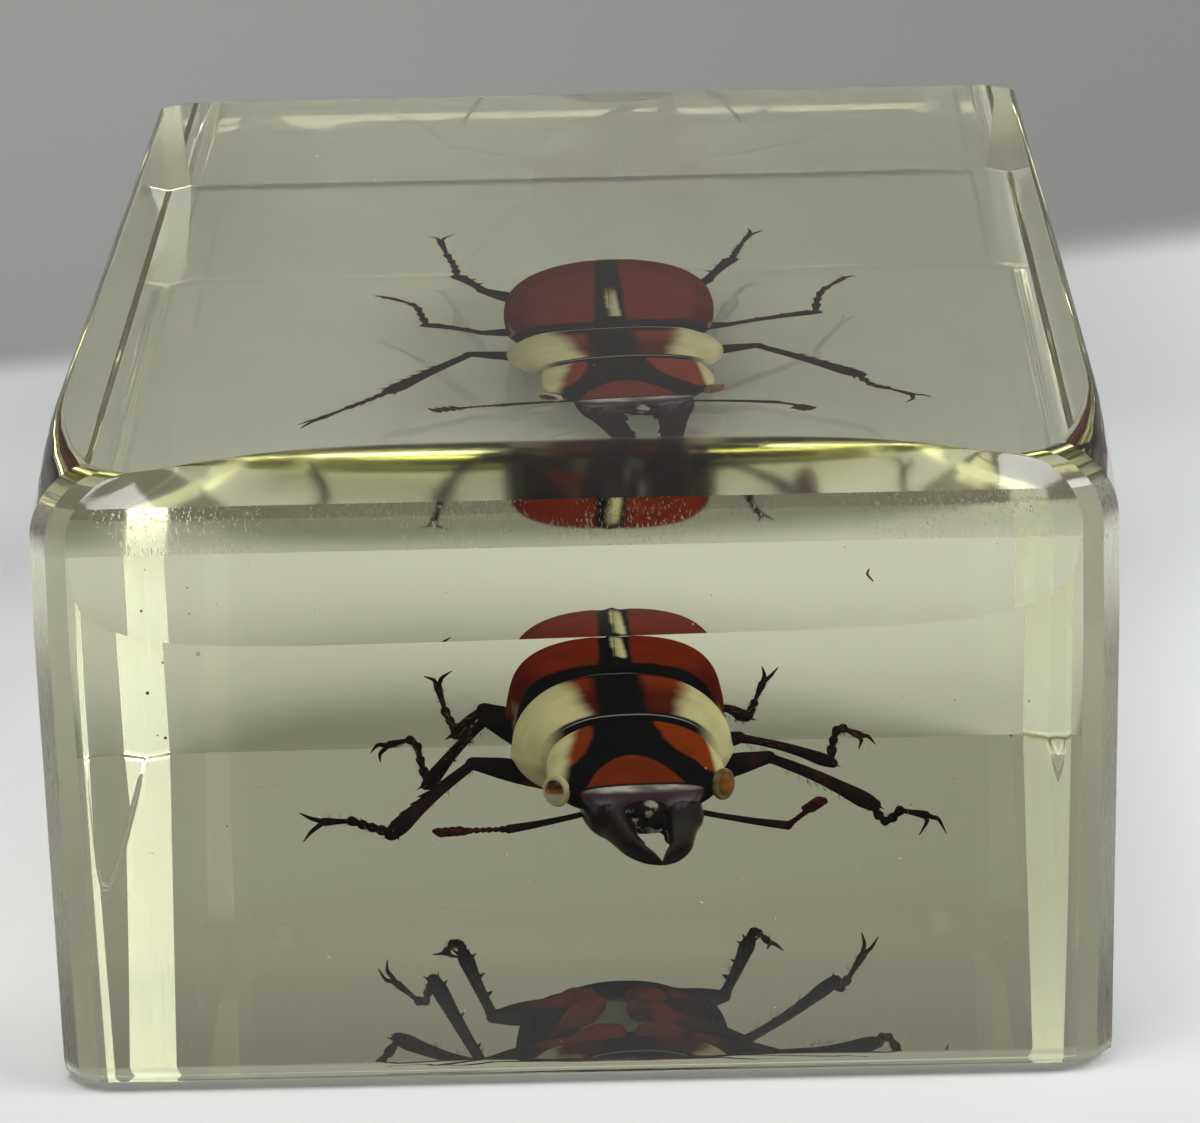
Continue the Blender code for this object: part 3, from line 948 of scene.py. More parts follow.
# Colours that are mixed with the main ones of the settings
BRIGHT_RED = (0.18, 0.022, 0.003)
DEEP_RED = (0.075, 0.004, 0.001)
DUSKY_RED = (0.035, 0.002, 0.001)
SHIELD_BROWN = (0.05, 0.012, 0.01)
PRONOTUM_RED = (0.16, 0.022, 0.003)
PRONOTUM_BROWN = (0.045, 0.005, 0.002)
BROW_RED = (0.13, 0.020, 0.004)
PLATE_BROWN = (0.045, 0.026, 0.036)
PLATE_GLINT_GREY = (0.22, 0.20, 0.23)
JAW_BLACK = (0.005, 0.003, 0.004)
JAW_BROWN = (0.035, 0.006, 0.005)
LEG_BLACK = (0.007, 0.0045, 0.0045)
LEG_BROWN = (0.030, 0.008, 0.006)
THIGH_RED = (0.16, 0.014, 0.006)
BELLY_BLACK = (0.007, 0.005, 0.005)
BELLY_CREAM = (0.26, 0.25, 0.19)
BELLY_RED = (0.06, 0.010, 0.008)
FEELER_BLACK = (0.009, 0.006, 0.006)
FEELER_RED = (0.045, 0.008, 0.006)
MOUTH_BROWN = (0.010, 0.005, 0.007)
MOUTH_GLINT_SILVER = (0.34, 0.34, 0.30)
EYE_BROWN = (0.030, 0.008, 0.005)
RING_TAN = (0.40, 0.30, 0.12)
RING_BROWN = (0.07, 0.03, 0.01)
HAIR_BROWN = (0.10, 0.045, 0.015)
HAIR_GOLD = (0.22, 0.12, 0.04)
PIT_DEPTH_UNIT = 0.000012


def body_fields(tree, place):
    """How far each point is behind the shoulders, across the body and up, in millimetres."""
    centred = add_node(
        tree,
        "ShaderNodeMapping",
        {
            "Vector": place,
            "Location": (BODY_CENTRE * MM, 0.0, 0.0),
            "Rotation": (0.0, 0.0, BODY_YAW),
            "Scale": (MM, MM, MM),
        },
        vector_type="TEXTURE",
    )
    axes = add_node(tree, "ShaderNodeSeparateXYZ", {"Vector": centred.outputs["Vector"]})
    across, along, height = (Field(tree, axes.outputs[key]) for key in ("X", "Y", "Z"))
    return along, across, height


def wobble(tree, place, scale, amount):
    """A small uneven shift, in millimetres, that keeps the edge of a marking from being ruled."""
    return (Field(tree, noise(tree, place, scale)) - 0.5) * amount


def chitin(name, paint, roughness=0.24, pits=900.0, pit_depth=0.5, gloss=0.0):
    """Insect shell with fine pits. paint returns its colour.

    Resin and shell bend light alike, so a shell that the resin touches has no gloss of its own.
    """
    material, tree, shader, place = new_material(name)
    colour = paint(tree, place)
    cloud = noise(tree, place, 700.0, 2.0)
    darker = maths(tree, "MULTIPLY_ADD", cloud, 0.5, 0.72)
    shaded = add_node(tree, "ShaderNodeVectorMath", {0: colour}, operation="SCALE")
    tree.links.new(darker, shaded.inputs["Scale"])
    cells = add_node(tree, "ShaderNodeTexVoronoi", {"Vector": place, "Scale": pits}).outputs["Distance"]
    pitted = bump(tree, ramp_between(tree, cells, 0.0, 0.45), pit_depth, PIT_DEPTH_UNIT)
    dull = maths(tree, "MULTIPLY_ADD", cloud, 0.22, roughness - 0.08)
    set_inputs(
        tree,
        shader,
        Base_Color=shaded.outputs["Vector"],
        Roughness=dull,
        Specular_IOR_Level=gloss,
        Normal=pitted,
    )
    return material


def elytra_paint(tree, place):
    """Dark red with black edges. Violet and pale patches where resin has lifted are painted sheen, and the pale
    streak where resin has lifted from the suture is a painted reflection.
    """
    colours = bpy.context.scene.specimen_beetle
    along, across, height = body_fields(tree, place)
    wavy = wobble(tree, place, 1400.0, 0.22)
    aside = across - WING_SHIFT + along * -WING_TURN
    seam = aside.size() + wavy + (along * 0.015).least(0.2)
    # The streak on the suture is a painted reflection of the air where the resin has lifted.
    streak_edge = (aside - 0.22 + along * 0.03 + wobble(tree, place, 900.0, 0.3)).size()
    streak = streak_edge.step(0.34, 0.1) * along.step(0.2, 0.5) * along.step(6.0, 3.4)
    # Patches where the resin has lifted; the colours laid on them are painted sheen.
    lifted = Field(tree, noise(tree, place, 380.0)).step(0.42, 0.62)
    shoulder = height.step(8.8, 8.3) * height.step(7.2, 7.7) * along.step(2.0, 0.6) * lifted
    return painted(
        tree,
        colours.red,
        (Field(tree, noise(tree, place, 500.0)).step(0.45, 0.8) * 0.4, BRIGHT_RED),
        (height.step(10.0, 9.2) * 0.6, DEEP_RED),
        (along.step(3.0, 1.0) * height.step(10.2, 9.4) * 0.6, DUSKY_RED),
        # Painted sheen where the resin has lifted: violet low on the sides, pale on the shoulders.
        (height.step(8.4, 7.6) * 0.25 * lifted, colours.violet),
        (shoulder * 0.3, colours.cream),
        (seam.step(0.78, 0.58), colours.black),
        ((along + wavy).step(-0.22, -0.42), colours.black),
        ((height + wavy).step(7.6, 7.2), colours.black),
        # Painted sheen along the edge where the resin has lifted.
        ((height + wavy - 7.0).size().step(0.22, 0.08) * lifted, colours.violet),
        # Painted reflection: the pale streak on the suture.
        (streak, colours.cream),
    )


def shield_paint(tree, place):
    """Black, a little brown in places."""
    black = bpy.context.scene.specimen_beetle.black
    return painted(tree, black, (wobble(tree, place, 900.0, 0.4), SHIELD_BROWN))


def pronotum_paint(tree, place):
    """A black band with orange-red beside it and cream on the flanks, inside thin black edges, with painted
    silvery highlights along the margins.
    """
    colours = bpy.context.scene.specimen_beetle
    along, across, height = body_fields(tree, place)
    wavy = wobble(tree, place, 900.0, 0.5)
    offset = (across + 0.13).size() + wavy
    flank = (across - 0.1).size() + wobble(tree, place, 600.0, 0.9)
    outward = flank + along * -0.22 + across.step(0.0, -1.0) * 0.35
    pale = outward.step(2.7, 3.6) * (height + wavy).step(5.5, 5.8)
    margin = along - PRONOTUM_FRONT + across * across * FRONT_CURVE + wavy * 0.15
    return painted(
        tree,
        PRONOTUM_RED,
        (along.step(-2.7, -4.2) * 0.85, PRONOTUM_BROWN),
        (pale, colours.cream),
        (offset.step(1.3, 0.75), colours.black),
        (flank.step(3.0, 1.8) * along.step(-2.5, -1.8), colours.black),
        ((along + wavy * 0.3).step(-1.28, -1.12), colours.black),
        (margin.step(0.34, 0.2) * flank.step(3.9, 2.6), colours.black),
        # Painted highlights: thin silvery lines along the front and rear margins.
        ((margin - 0.09).size().step(0.05, 0.015) * flank.step(3.2, 2.0) * 0.5, colours.glint_silver),
        ((along + 1.44).size().step(0.07, 0.02) * flank.step(3.4, 2.6) * 0.4, colours.glint_silver),
    )


def head_paint(tree, place):
    """Black with a red crescent on the brow, an orange patch each side and cream at the eyes, and painted
    silvery and grey glints on the front plate.
    """
    colours = bpy.context.scene.specimen_beetle
    along, across, height = body_fields(tree, place)
    wavy = wobble(tree, place, 1100.0, 0.3)
    brow_across = across + 0.25
    brow = along + brow_across * brow_across * 0.5 + 8.75 + wavy * 0.25
    crescent = brow.step(0.06, -0.08) * (along + wavy * 0.1).step(-10.82, -10.68)
    back = along + 6.0
    arms = back * back * 0.12 + 1.15
    outside = (across + 0.2).size() + wavy - arms
    left = across * -1.0 + along * 0.25 + wobble(tree, place, 700.0, 0.5)
    patch_front = (along + wavy * 0.5 - across.step(0.0, -0.5) * 0.6).step(-9.9, -9.5)
    patch = outside.step(0.0, 0.25) * patch_front
    left_cream = left.step(0.35, 0.95) * along.step(-10.4, -10.1)
    around_eye = across.size().step(2.9, 3.15) * height.step(5.4, 5.7) * along.step(-10.5, -10.3)
    grain = noise(tree, stretched(tree, place, (500.0, 900.0, 900.0)), 1.0)
    # Painted highlights: the glints of the front plate.
    glints = Field(tree, grain).step(0.42, 0.62) * 0.6
    plate = along.step(-10.85, -10.95)
    return painted(
        tree,
        colours.black,
        (patch, colours.orange),
        ((across.step(3.0, 3.25) * patch).most(left_cream), colours.cream),
        (around_eye * across.step(3.3, 3.5), colours.cream),
        (crescent, BROW_RED),
        (plate, PLATE_BROWN),
        # Painted highlights on the front plate, silvery and grey.
        (plate * height.step(6.7, 6.85) * (glints + 0.2), colours.glint_silver),
        (along.step(-10.9, -11.2) * height.step(6.7, 6.3) * glints, PLATE_GLINT_GREY),
    )


def jaw_paint(tree, place):
    """Near-black purple-brown horn, with a painted violet sheen where the resin has lifted from it."""
    along, _, height = body_fields(tree, place)
    streaks = Field(tree, noise(tree, stretched(tree, place, (1600.0, 300.0, 1600.0)), 1.0, 4.0))
    # Painted sheen near the jaws' bases.
    sheen = height.step(6.0, 6.4) * streaks.step(0.45, 0.65) * along.step(-13.5, -12.0) * 0.7
    return painted(
        tree,
        JAW_BLACK,
        (streaks.step(0.5, 0.75) * 0.5, JAW_BROWN),
        (sheen, bpy.context.scene.specimen_beetle.violet),
    )


def leg_paint(tree, place):
    """Black-brown, dark red where the light comes through the thighs near the body."""
    _, across, height = body_fields(tree, place)
    blotch = Field(tree, noise(tree, place, 700.0))
    near = across.size().step(4.4, 2.6)
    return painted(
        tree,
        LEG_BLACK,
        (blotch.step(0.45, 0.7) * 0.5, LEG_BROWN),
        (near * blotch.step(0.3, 0.5) * height.step(6.2, 5.6), THIGH_RED),
    )


def underside_paint(tree, place):
    """Black, with a greyish cream middle between the hips."""
    along, across, _ = body_fields(tree, place)
    wavy = wobble(tree, place, 500.0, 1.0)
    aside = across.size() + wavy
    middle = aside.step(1.7, 1.2) * (along + wavy).step(-1.0, 0.0) * along.step(6.0, 4.5)
    flank = aside.step(2.6, 3.2) * 0.4
    return painted(tree, BELLY_BLACK, (middle, BELLY_CREAM), (flank, BELLY_RED))


def feeler_paint(tree, place):
    """Black-brown stalks that turn reddish towards the club."""
    across = body_fields(tree, place)[1]
    return painted(tree, FEELER_BLACK, (across.size().step(4.8, 6.4) * 0.8, FEELER_RED))


def mouth_paint(tree, place):
    """Dark purple-brown with painted silvery glints."""
    # Painted highlights: silvery glints on the mouthparts.
    patches = Field(tree, noise(tree, place, 1500.0)).step(0.54, 0.64)
    return painted(tree, MOUTH_BROWN, (patches * 0.8, MOUTH_GLINT_SILVER))


def eye_paint(tree, place):
    """Amber brown and darker at the top, with a painted silvery reflection on the lower half of the right-hand
    eye.
    """
    colours = bpy.context.scene.specimen_beetle
    _, across, height = body_fields(tree, place)
    right_hand = across.step(0.5, -0.5)
    top = (height - EYE_PLACE[2]).step(0.0, 0.2) * (right_hand * 0.6 + 0.35)
    # Painted reflection on the lower half of the right-hand eye.
    low = (height - EYE_PLACE[2]).step(0.0, -0.15) * right_hand
    return painted(tree, colours.amber, (top, EYE_BROWN), (low * 0.85, colours.glint_silver))


def ring_paint(tree, place):
    """Cream round the right-hand eye, and mostly brown round the left-hand one."""
    across = body_fields(tree, place)[1]
    blotch = Field(tree, noise(tree, place, 900.0)).step(0.4, 0.7)
    left_hand = across.step(-0.5, 0.5) * (blotch * -0.4 + 0.9)
    cream = bpy.context.scene.specimen_beetle.cream
    return painted(tree, cream, (blotch * 0.5, RING_TAN), (left_hand, RING_BROWN))


def mottled(base, coat, scale):
    """A paint of two colours that mix in soft patches."""
    return lambda tree, place: painted(tree, base, (Field(tree, noise(tree, place, scale)), coat))


# ---- Pieces of the beetle ----

ELYTRON_THICKNESS = 0.12
ELYTRON_STEPS = 110
ELYTRON_COLUMNS = 56
TUCK_TURN = math.radians(-34)
PRONOTUM_SIDES = 128
PRONOTUM_STEPS = 96
HEAD_SIDES = 112
HEAD_STEPS = 80
ABDOMEN_SIDES = 80
ABDOMEN_STEPS = 150
SEGMENT_STARTS = (5.2, 7.4, 9.2, 10.8, 12.0)
SEAM_GAP = 0.015
SCUTELLUM_STATIONS = ((-1.0, 0.70), (-0.7, 0.71), (-0.4, 0.58), (-0.12, 0.34), (0.15, 0.1))
SCUTELLUM_STEPS = 24
RING_STEPS = 40
RING_SIDES = 12
THIGH_SHARES = (0.0, 0.2, 0.45, 0.7, 0.9, 1.0)
THIGH_RADII = (0.34, 0.5, 0.62, 0.58, 0.42, 0.34)
THIGH_BOW = 0.12
SHIN_SHARES = (0.0, 0.08, 0.2, 0.45, 0.7, 0.9, 1.0)
KNEE_RADII = (0.3, 0.27)
SHIN_WIDTHS = (0.72, 0.78, 0.92, 1.12, 0.9)  # times the shin's own radius, from past the knee on
SHIN_BOW = 0.14
STALK_SHARES = (0.0, 0.3, 0.7, 1.0)
STALK_RADII = (0.13, 0.12, 0.15, 0.19)
CLUB_PLATES = 4

# Steps along each limb and sides round it
JAW_DETAIL = (64, 28)
TOOTH_DETAIL = (14, 14)
PALP_DETAIL = (18, 10)
HIP_DETAIL = (14, 20)
THIGH_DETAIL = (34, 20)
SHIN_DETAIL = (40, 18)
CLAW_DETAIL = (14, 10)
STALK_DETAIL = (26, 12)
PLATE_DETAIL = (14, 12)

# Thickness of the flattened limbs for each unit of their width
JAW_FLAT = 0.82
TOOTH_FLAT = 0.8
THIGH_FLAT = 0.8
SHIN_FLAT = 0.72
PLATE_FLAT = 0.62


def elytron_point(row, sign, turn, inward):
    """A point of one wing case, with its raised seam, shoulder and edge bead."""
    along = row[0]
    reach, height = section_point(row, turn, WING_HEIGHT_POWER)
    rib = 0.06 * hump(reach, 0.0, 0.16) - 0.05 * hump(reach, 0.42, 0.2)
    shoulder = 0.16 * hump(along, 0.5, 1.0) * hump(reach, 3.3, 0.8)
    bead = 0.07 * hump(turn, math.radians(2), 0.09)
    out = rib + shoulder - inward
    slope = max(math.sin(turn), -0.5)
    reach += (bead + out * max(math.cos(turn), 0.0) ** 2) * min(1.0, row[1])
    middle = WING_SHIFT + WING_TURN * along
    across = middle + sign * (max(reach, 0.0) + SEAM_GAP)
    return on_body(along, across, height + out * slope)


def elytra_mesh():
    builder = bmesh.new()
    rows = smooth_rows(ELYTRA_STATIONS, ELYTRON_STEPS)
    top, sweep = math.pi / 2, TUCK_TURN - math.pi / 2
    turns = [top + sweep * k / ELYTRON_COLUMNS for k in range(ELYTRON_COLUMNS + 1)]
    for sign in (-1, 1):
        grids = []
        for inward in (0.0, ELYTRON_THICKNESS):
            grids.append([[elytron_point(row, sign, turn, inward) for turn in turns] for row in rows])
        add_wall(builder, *grids)
    return builder


def scutellum_mesh():
    """The small shield between the bases of the wing cases."""
    builder = bmesh.new()
    rings = []
    for along, half_width in smooth_rows(SCUTELLUM_STATIONS, SCUTELLUM_STEPS):
        top = 10.07 + 0.27 * (along + 1.0) / 1.15
        ring = []
        for turn in full_turn(24):
            rise = math.sin(turn)
            height = top + (0.10 if rise > 0 else 0.5) * rise - 0.08 * (math.cos(turn) * half_width) ** 2
            ring.append(on_body(along, WING_SHIFT + half_width * math.cos(turn), height))
        rings.append(ring)
    add_skin(builder, rings)
    return builder


def pronotum_mesh():
    """The shield behind the head, with a raised rim all round and a shallow dent each side."""

    def shaped(along, across, height, row):
        rim = 0.09 * hump(along, -5.65, 0.14) + 0.10 * hump(along, -1.2, 0.16)
        rim -= 0.06 * hump(along, -1.6, 0.2)
        edge = 0.09 * hump(height, 7.0, 0.22)
        dent = 0.08 * hump(along, -3.2, 0.8) * hump(abs(across), 2.9, 0.7) * (height > SHOULDER_LEVEL)
        groove = 0.04 * hump(across, 0.0, 0.3) * hump(along, -3.2, 1.8) * (height > SHOULDER_LEVEL)
        forward = FRONT_CURVE * across**2 * min(max((-2.5 - along) / 3.0, 0.0), 1.0)
        growth = 1 + (rim + edge) / max(row[1], 1.0)
        lifted = SHOULDER_LEVEL + (height - SHOULDER_LEVEL) * (1 + rim / 3.0) - dent - groove
        return along - forward, across * growth, lifted

    builder = bmesh.new()
    add_body(builder, PRONOTUM_STATIONS, PRONOTUM_STEPS, PRONOTUM_SIDES, shaped)
    return builder


def head_mesh():
    """The head, with a cheek ledge over each eye and a brow that falls to the front plate."""

    def shaped(along, across, height, row):
        ledge = 0.20 * hump(along, -10.3, 0.4) * hump(height, 6.9, 0.3)
        dip = 0.07 * hump(along, -9.9, 0.7) * hump(across, 0.0, 1.2) * (height > 6.4)
        arm = 0.07 * hump(abs(across), 2.2, 0.5) * hump(along, -9.4, 0.8) * (height > 6.4)
        socket = 0.25 * hump(along, EYE_PLACE[0], 0.5) * hump(height, EYE_PLACE[2], 0.5)
        plate = 0.18 * hump(across, 0.0, 1.2) * hump(along, -11.5, 0.35)
        across *= 1 + (ledge - socket) / max(row[1], 1.0)
        return along - plate, across, height + arm - dip

    builder = bmesh.new()
    add_body(builder, HEAD_STATIONS, HEAD_STEPS, HEAD_SIDES, shaped)
    return builder


def abdomen_mesh():
    """The body under the wing cases, with overlapping plates along its underside."""

    def shaped(along, across, height, row):
        if height < 6.6:
            nearest = max((start for start in SEGMENT_STARTS if start <= along), default=None)
            if nearest is not None:
                height += 0.16 * math.exp(-(along - nearest) / 0.22)
            height += 0.10 * hump(across, 0.0, 0.35) * hump(along, 2.5, 2.0)
        return along, across + WING_SHIFT + WING_TURN * along, height

    builder = bmesh.new()
    add_body(builder, ABDOMEN_STATIONS, ABDOMEN_STEPS, ABDOMEN_SIDES, shaped)
    return builder


def add_ball(builder, centre, radii, steps=20, sides=28, turn=0.0):
    """A ball with its own radius on each of the body's axes: along, across and up."""
    rings = []
    for j in range(1, steps):
        polar = math.pi * j / steps
        ring = []
        for round_turn in full_turn(sides):
            along = -radii[0] * math.cos(polar)
            across = radii[1] * math.sin(polar) * math.cos(round_turn)
            up = radii[2] * math.sin(polar) * math.sin(round_turn)
            turned_along = along * math.cos(turn) - across * math.sin(turn)
            turned_across = along * math.sin(turn) + across * math.cos(turn)
            ring.append(on_body(centre[0] + turned_along, centre[1] + turned_across, centre[2] + up))
        rings.append(ring)
    add_skin(builder, rings)


def eyes_mesh():
    builder = bmesh.new()
    radii = (EYE_RADIUS, EYE_RADIUS * 0.9, EYE_RADIUS)
    for sign in (-1, 1):
        centre = (EYE_PLACE[0], sign * EYE_PLACE[1], EYE_PLACE[2])
        add_ball(builder, centre, radii, turn=sign * (math.pi / 2 - EYE_TURN))
    return builder


def eye_rings_mesh():
    """A soft raised ring round each eye."""
    builder = bmesh.new()
    radius, tube, stand = EYE_RING
    out = Vector((-math.sin(EYE_TURN), math.cos(EYE_TURN), 0.0))
    back = Vector((math.cos(EYE_TURN), math.sin(EYE_TURN), 0.0))
    for sign in (-1, 1):
        rings = []
        for turn in full_turn(RING_STEPS):
            spoke = back * math.cos(turn) + UP * math.sin(turn)
            ring = []
            for around in full_turn(RING_SIDES):
                place = Vector(EYE_PLACE) + out * (stand + tube * math.sin(around))
                place += spoke * (radius + tube * math.cos(around))
                ring.append(builder.verts.new(on_body(place.x, sign * place.y, place.z)))
            rings.append(ring)
        for low, high in zip(rings, rings[1:] + rings[:1]):
            join_rings(builder, low, high)
    return builder


def mandible_stations(table, sign):
    return [(*on_body(along, sign * offset, height), radius) for along, offset, height, radius in table]


def mandibles_mesh():
    builder = bmesh.new()
    for sign in (-1, 1):
        jaw = mandible_stations(MANDIBLE_STATIONS, sign)
        add_limb(builder, jaw, *JAW_DETAIL, flat=JAW_FLAT)
        for tooth in (MIDDLE_TOOTH, BASE_TOOTH):
            add_limb(builder, mandible_stations(tooth, sign), *TOOTH_DETAIL, flat=TOOTH_FLAT)
    return builder


def mouthparts_mesh():
    """The upper lip, the chin plate and the pair of small feelers between the jaws."""
    builder = bmesh.new()
    for centre, radii in MOUTH_LOBES:
        add_ball(builder, centre, radii)
    for sign in (-1, 1):
        add_limb(builder, mandible_stations(PALP, sign), *PALP_DETAIL)
    return builder


def legs_mesh():
    """Hips, thighs and shins of all six legs."""
    builder = bmesh.new()
    for leg in LEGS.values():
        coxa, knee, ankle = (Vector(leg[key]) for key in ("coxa", "knee", "shin_end"))
        outward = (knee - coxa).normalized()
        hip = [(*(coxa - outward * 0.7), 0.55), (*coxa, 0.72), (*(coxa + outward * 0.8), 0.5)]
        add_limb(builder, hip, *HIP_DETAIL, flat=THIGH_FLAT)
        start = coxa + outward * 0.5
        thigh = stations_between(start, knee, THIGH_SHARES, THIGH_RADII, UP * THIGH_BOW)
        add_limb(builder, thigh, *THIGH_DETAIL, flat=THIGH_FLAT)
        radii = (*KNEE_RADII, *(width * leg["shin_radius"] for width in SHIN_WIDTHS))
        shin = stations_between(knee, ankle, SHIN_SHARES, radii, UP * SHIN_BOW)
        add_limb(builder, shin, *SHIN_DETAIL, flat=SHIN_FLAT)
    return builder


def claw_stations(leg, claw):
    foot_end = Vector(leg["foot"][-1])
    middle, tip = (Vector(point) for point in claw)
    return [(*foot_end, 0.11), (*foot_end.lerp(middle, 0.5), 0.10), (*middle, 0.08), (*tip, 0.02)]


def claws_mesh():
    builder = bmesh.new()
    for leg in LEGS.values():
        for claw in leg["claws"]:
            add_limb(builder, claw_stations(leg, claw), *CLAW_DETAIL)
    return builder


def spots_along(path, shares, widths, overlap=1.06):
    """Beads end to end along a path: each covers its share of it, with its own width."""
    rows = np.array(smooth_rows(path, 120))[:, :3]
    lengths = np.concatenate(((0.0,), np.cumsum(np.linalg.norm(np.diff(rows, axis=0), axis=1))))
    edges = np.concatenate(((0.0,), np.cumsum(shares))) / sum(shares) * lengths[-1]
    ends = [Vector([np.interp(edge, lengths, rows[:, axis]) for axis in range(3)]) for edge in edges]
    found = []
    for start, end, width in zip(ends[:-1], ends[1:], widths):
        step = end - start
        found.append((start, step, (width, width, step.length * overlap)))
    return found


FOOT_SHARES = (1.0, 0.8, 0.8, 0.85, 1.9)
FOOT_WIDTHS = (0.21, 0.20, 0.20, 0.20, 0.17)
FEELER_SHARES = (1.1, 0.8, 0.8, 0.8, 0.8, 1.4, 1.0, 1.0, 1.2)
FEELER_WIDTHS = (0.14, 0.12, 0.12, 0.12, 0.13, 0.15, 0.16, 0.16, 0.15)
SPINE_WIDTH = 0.11
SPUR_SIZE = (0.09, 0.09, 0.5)
HAIR_WIDTH = 0.014
HAIRS_PER_MM = 9
HAIR_SEED = 7


def foot_spots():
    found = []
    for leg in LEGS.values():
        found += spots_along((leg["shin_end"], *leg["foot"]), FOOT_SHARES, FOOT_WIDTHS)
    return found


def shin_spine_spots():
    """Teeth along the outer edge of each shin, and two spurs at its end."""
    found = []
    for name, leg in LEGS.items():
        knee, ankle = Vector(leg["knee"]), Vector(leg["shin_end"])
        ahead = (ankle - knee).normalized()
        side = ahead.cross(UP).normalized() * (1 if name.endswith("right") else -1)
        count = 6 if name.startswith("front") else 3
        for k in range(count):
            share = 0.38 + 0.56 * k / (count - 1)
            edge = knee.lerp(ankle, share) + UP * SHIN_BOW * math.sin(math.pi * share)
            length = 0.30 + 0.22 * share
            spot = edge + side * leg["shin_radius"] * 0.7
            found.append((spot, side * 0.8 + ahead * 0.7, (SPINE_WIDTH, SPINE_WIDTH, length)))
        for turn in (-0.9, 0.6):
            aim = ahead + side * turn - UP * 0.35
            found.append((ankle - ahead * 0.1 + side * turn * 0.2, aim, SPUR_SIZE))
    return found


def feeler_parts(feeler):
    """The long first joint as a limb path, and the rest as a path from the elbow to the tip."""
    base, elbow, tip = (Vector(feeler[key]) for key in ("base", "elbow", "tip"))
    bow = Vector((0.0, 0.2, -0.1))
    stalk = stations_between(base, elbow, STALK_SHARES, STALK_RADII, bow)
    middle = elbow.lerp(tip, 0.5) + Vector((0.0, 0.12, 0.0))
    return stalk, (elbow, middle, tip)


def feelers_mesh():
    """The first joints of the antennae, and the flat plates of their clubs."""
    builder = bmesh.new()
    for feeler in ANTENNAE.values():
        stalk, rest = feeler_parts(feeler)
        add_limb(builder, stalk, *STALK_DETAIL)
        rows = [Vector(row) for row in smooth_rows(rest, 41)]
        for k in range(CLUB_PLATES):
            number = 26 + 4 * k
            point = rows[number]
            ahead = (rows[number + 2] - rows[number - 1]).normalized()
            side = ahead.cross(UP).normalized()
            plate = [
                (*(point - side * 0.14), 0.16),
                (*(point + side * 0.16 + ahead * 0.10), 0.20),
                (*(point + side * 0.46 + ahead * 0.22), 0.09),
            ]
            add_limb(builder, plate, *PLATE_DETAIL, flat=PLATE_FLAT, up=ahead)
    return builder


def feeler_spots():
    found = []
    for feeler in ANTENNAE.values():
        found += spots_along(feeler_parts(feeler)[1], FEELER_SHARES, FEELER_WIDTHS)
    return found


def hair_spots():
    """Short hairs along the shins and feet, from fixed random draws."""
    draws = np.random.default_rng(HAIR_SEED)
    found = []
    for leg in LEGS.values():
        joints = [Vector(point) for point in (leg["knee"], leg["shin_end"], *leg["foot"])]
        for start, end in zip(joints[:-1], joints[1:]):
            ahead = (end - start).normalized()
            side = ahead.cross(UP).normalized()
            lift = side.cross(ahead)
            for _ in range(int((end - start).length * HAIRS_PER_MM)):
                share, turn = draws.uniform(0.05, 0.98), draws.uniform(0.0, 2 * math.pi)
                spoke = side * math.cos(turn) + lift * math.sin(turn)
                radius = 0.22 if start is joints[0] else 0.15
                root = start.lerp(end, share) + spoke * radius
                size = (HAIR_WIDTH, HAIR_WIDTH, draws.uniform(0.14, 0.30))
                found.append((root, spoke + ahead * 0.9, size))
    return found


JOINT_PROFILE = ((0.0, 0.35), (0.08, 0.55), (0.45, 0.68), (0.8, 0.98), (0.93, 1.0), (1.0, 0.6))
KNOT_PROFILE = ((0.0, 0.4), (0.15, 0.7), (0.5, 0.95), (0.75, 1.0), (0.93, 0.85), (1.0, 0.45))
SPINE_PROFILE = ((-0.15, 0.9), (0.0, 1.0), (0.35, 0.72), (0.75, 0.32), (1.0, 0.05))
HAIR_PROFILE = ((-0.1, 1.0), (0.5, 0.7), (1.0, 0.1))


def add_part(name, builder, material):
    """Makes a part of the beetle and lets it stand for the plain solid."""
    finish_piece(new_object(name, builder, material), "beetle_shell", BEETLE_NODE)


def add_repeats(name, profile, sides, spots, material, variation, seed):
    """Makes a part of the beetle from a bead at every spot."""
    bead = turned_bead(name + "_bead", profile, sides)
    part = repeated(name, bead, spots, material, variation, seed)
    finish_piece(part, "beetle_shell", BEETLE_NODE)


class SPECIMEN_OT_wing_cases(bpy.types.Operator):
    """Builds the two wing cases, the small shield between them and the body under them"""

    bl_idname = "specimen.wing_cases"
    bl_label = "Wing cases and abdomen"

    def execute(self, context):
        shell = chitin("wing_case_shell", elytra_paint, pits=2400.0, pit_depth=0.15)
        shield = chitin("shield_shell", shield_paint)
        underside = chitin("underside_shell", underside_paint, roughness=0.34)
        add_part("wing_cases", elytra_mesh(), shell)
        add_part("scutellum", scutellum_mesh(), shield)
        add_part("abdomen", abdomen_mesh(), underside)
        return {"FINISHED"}


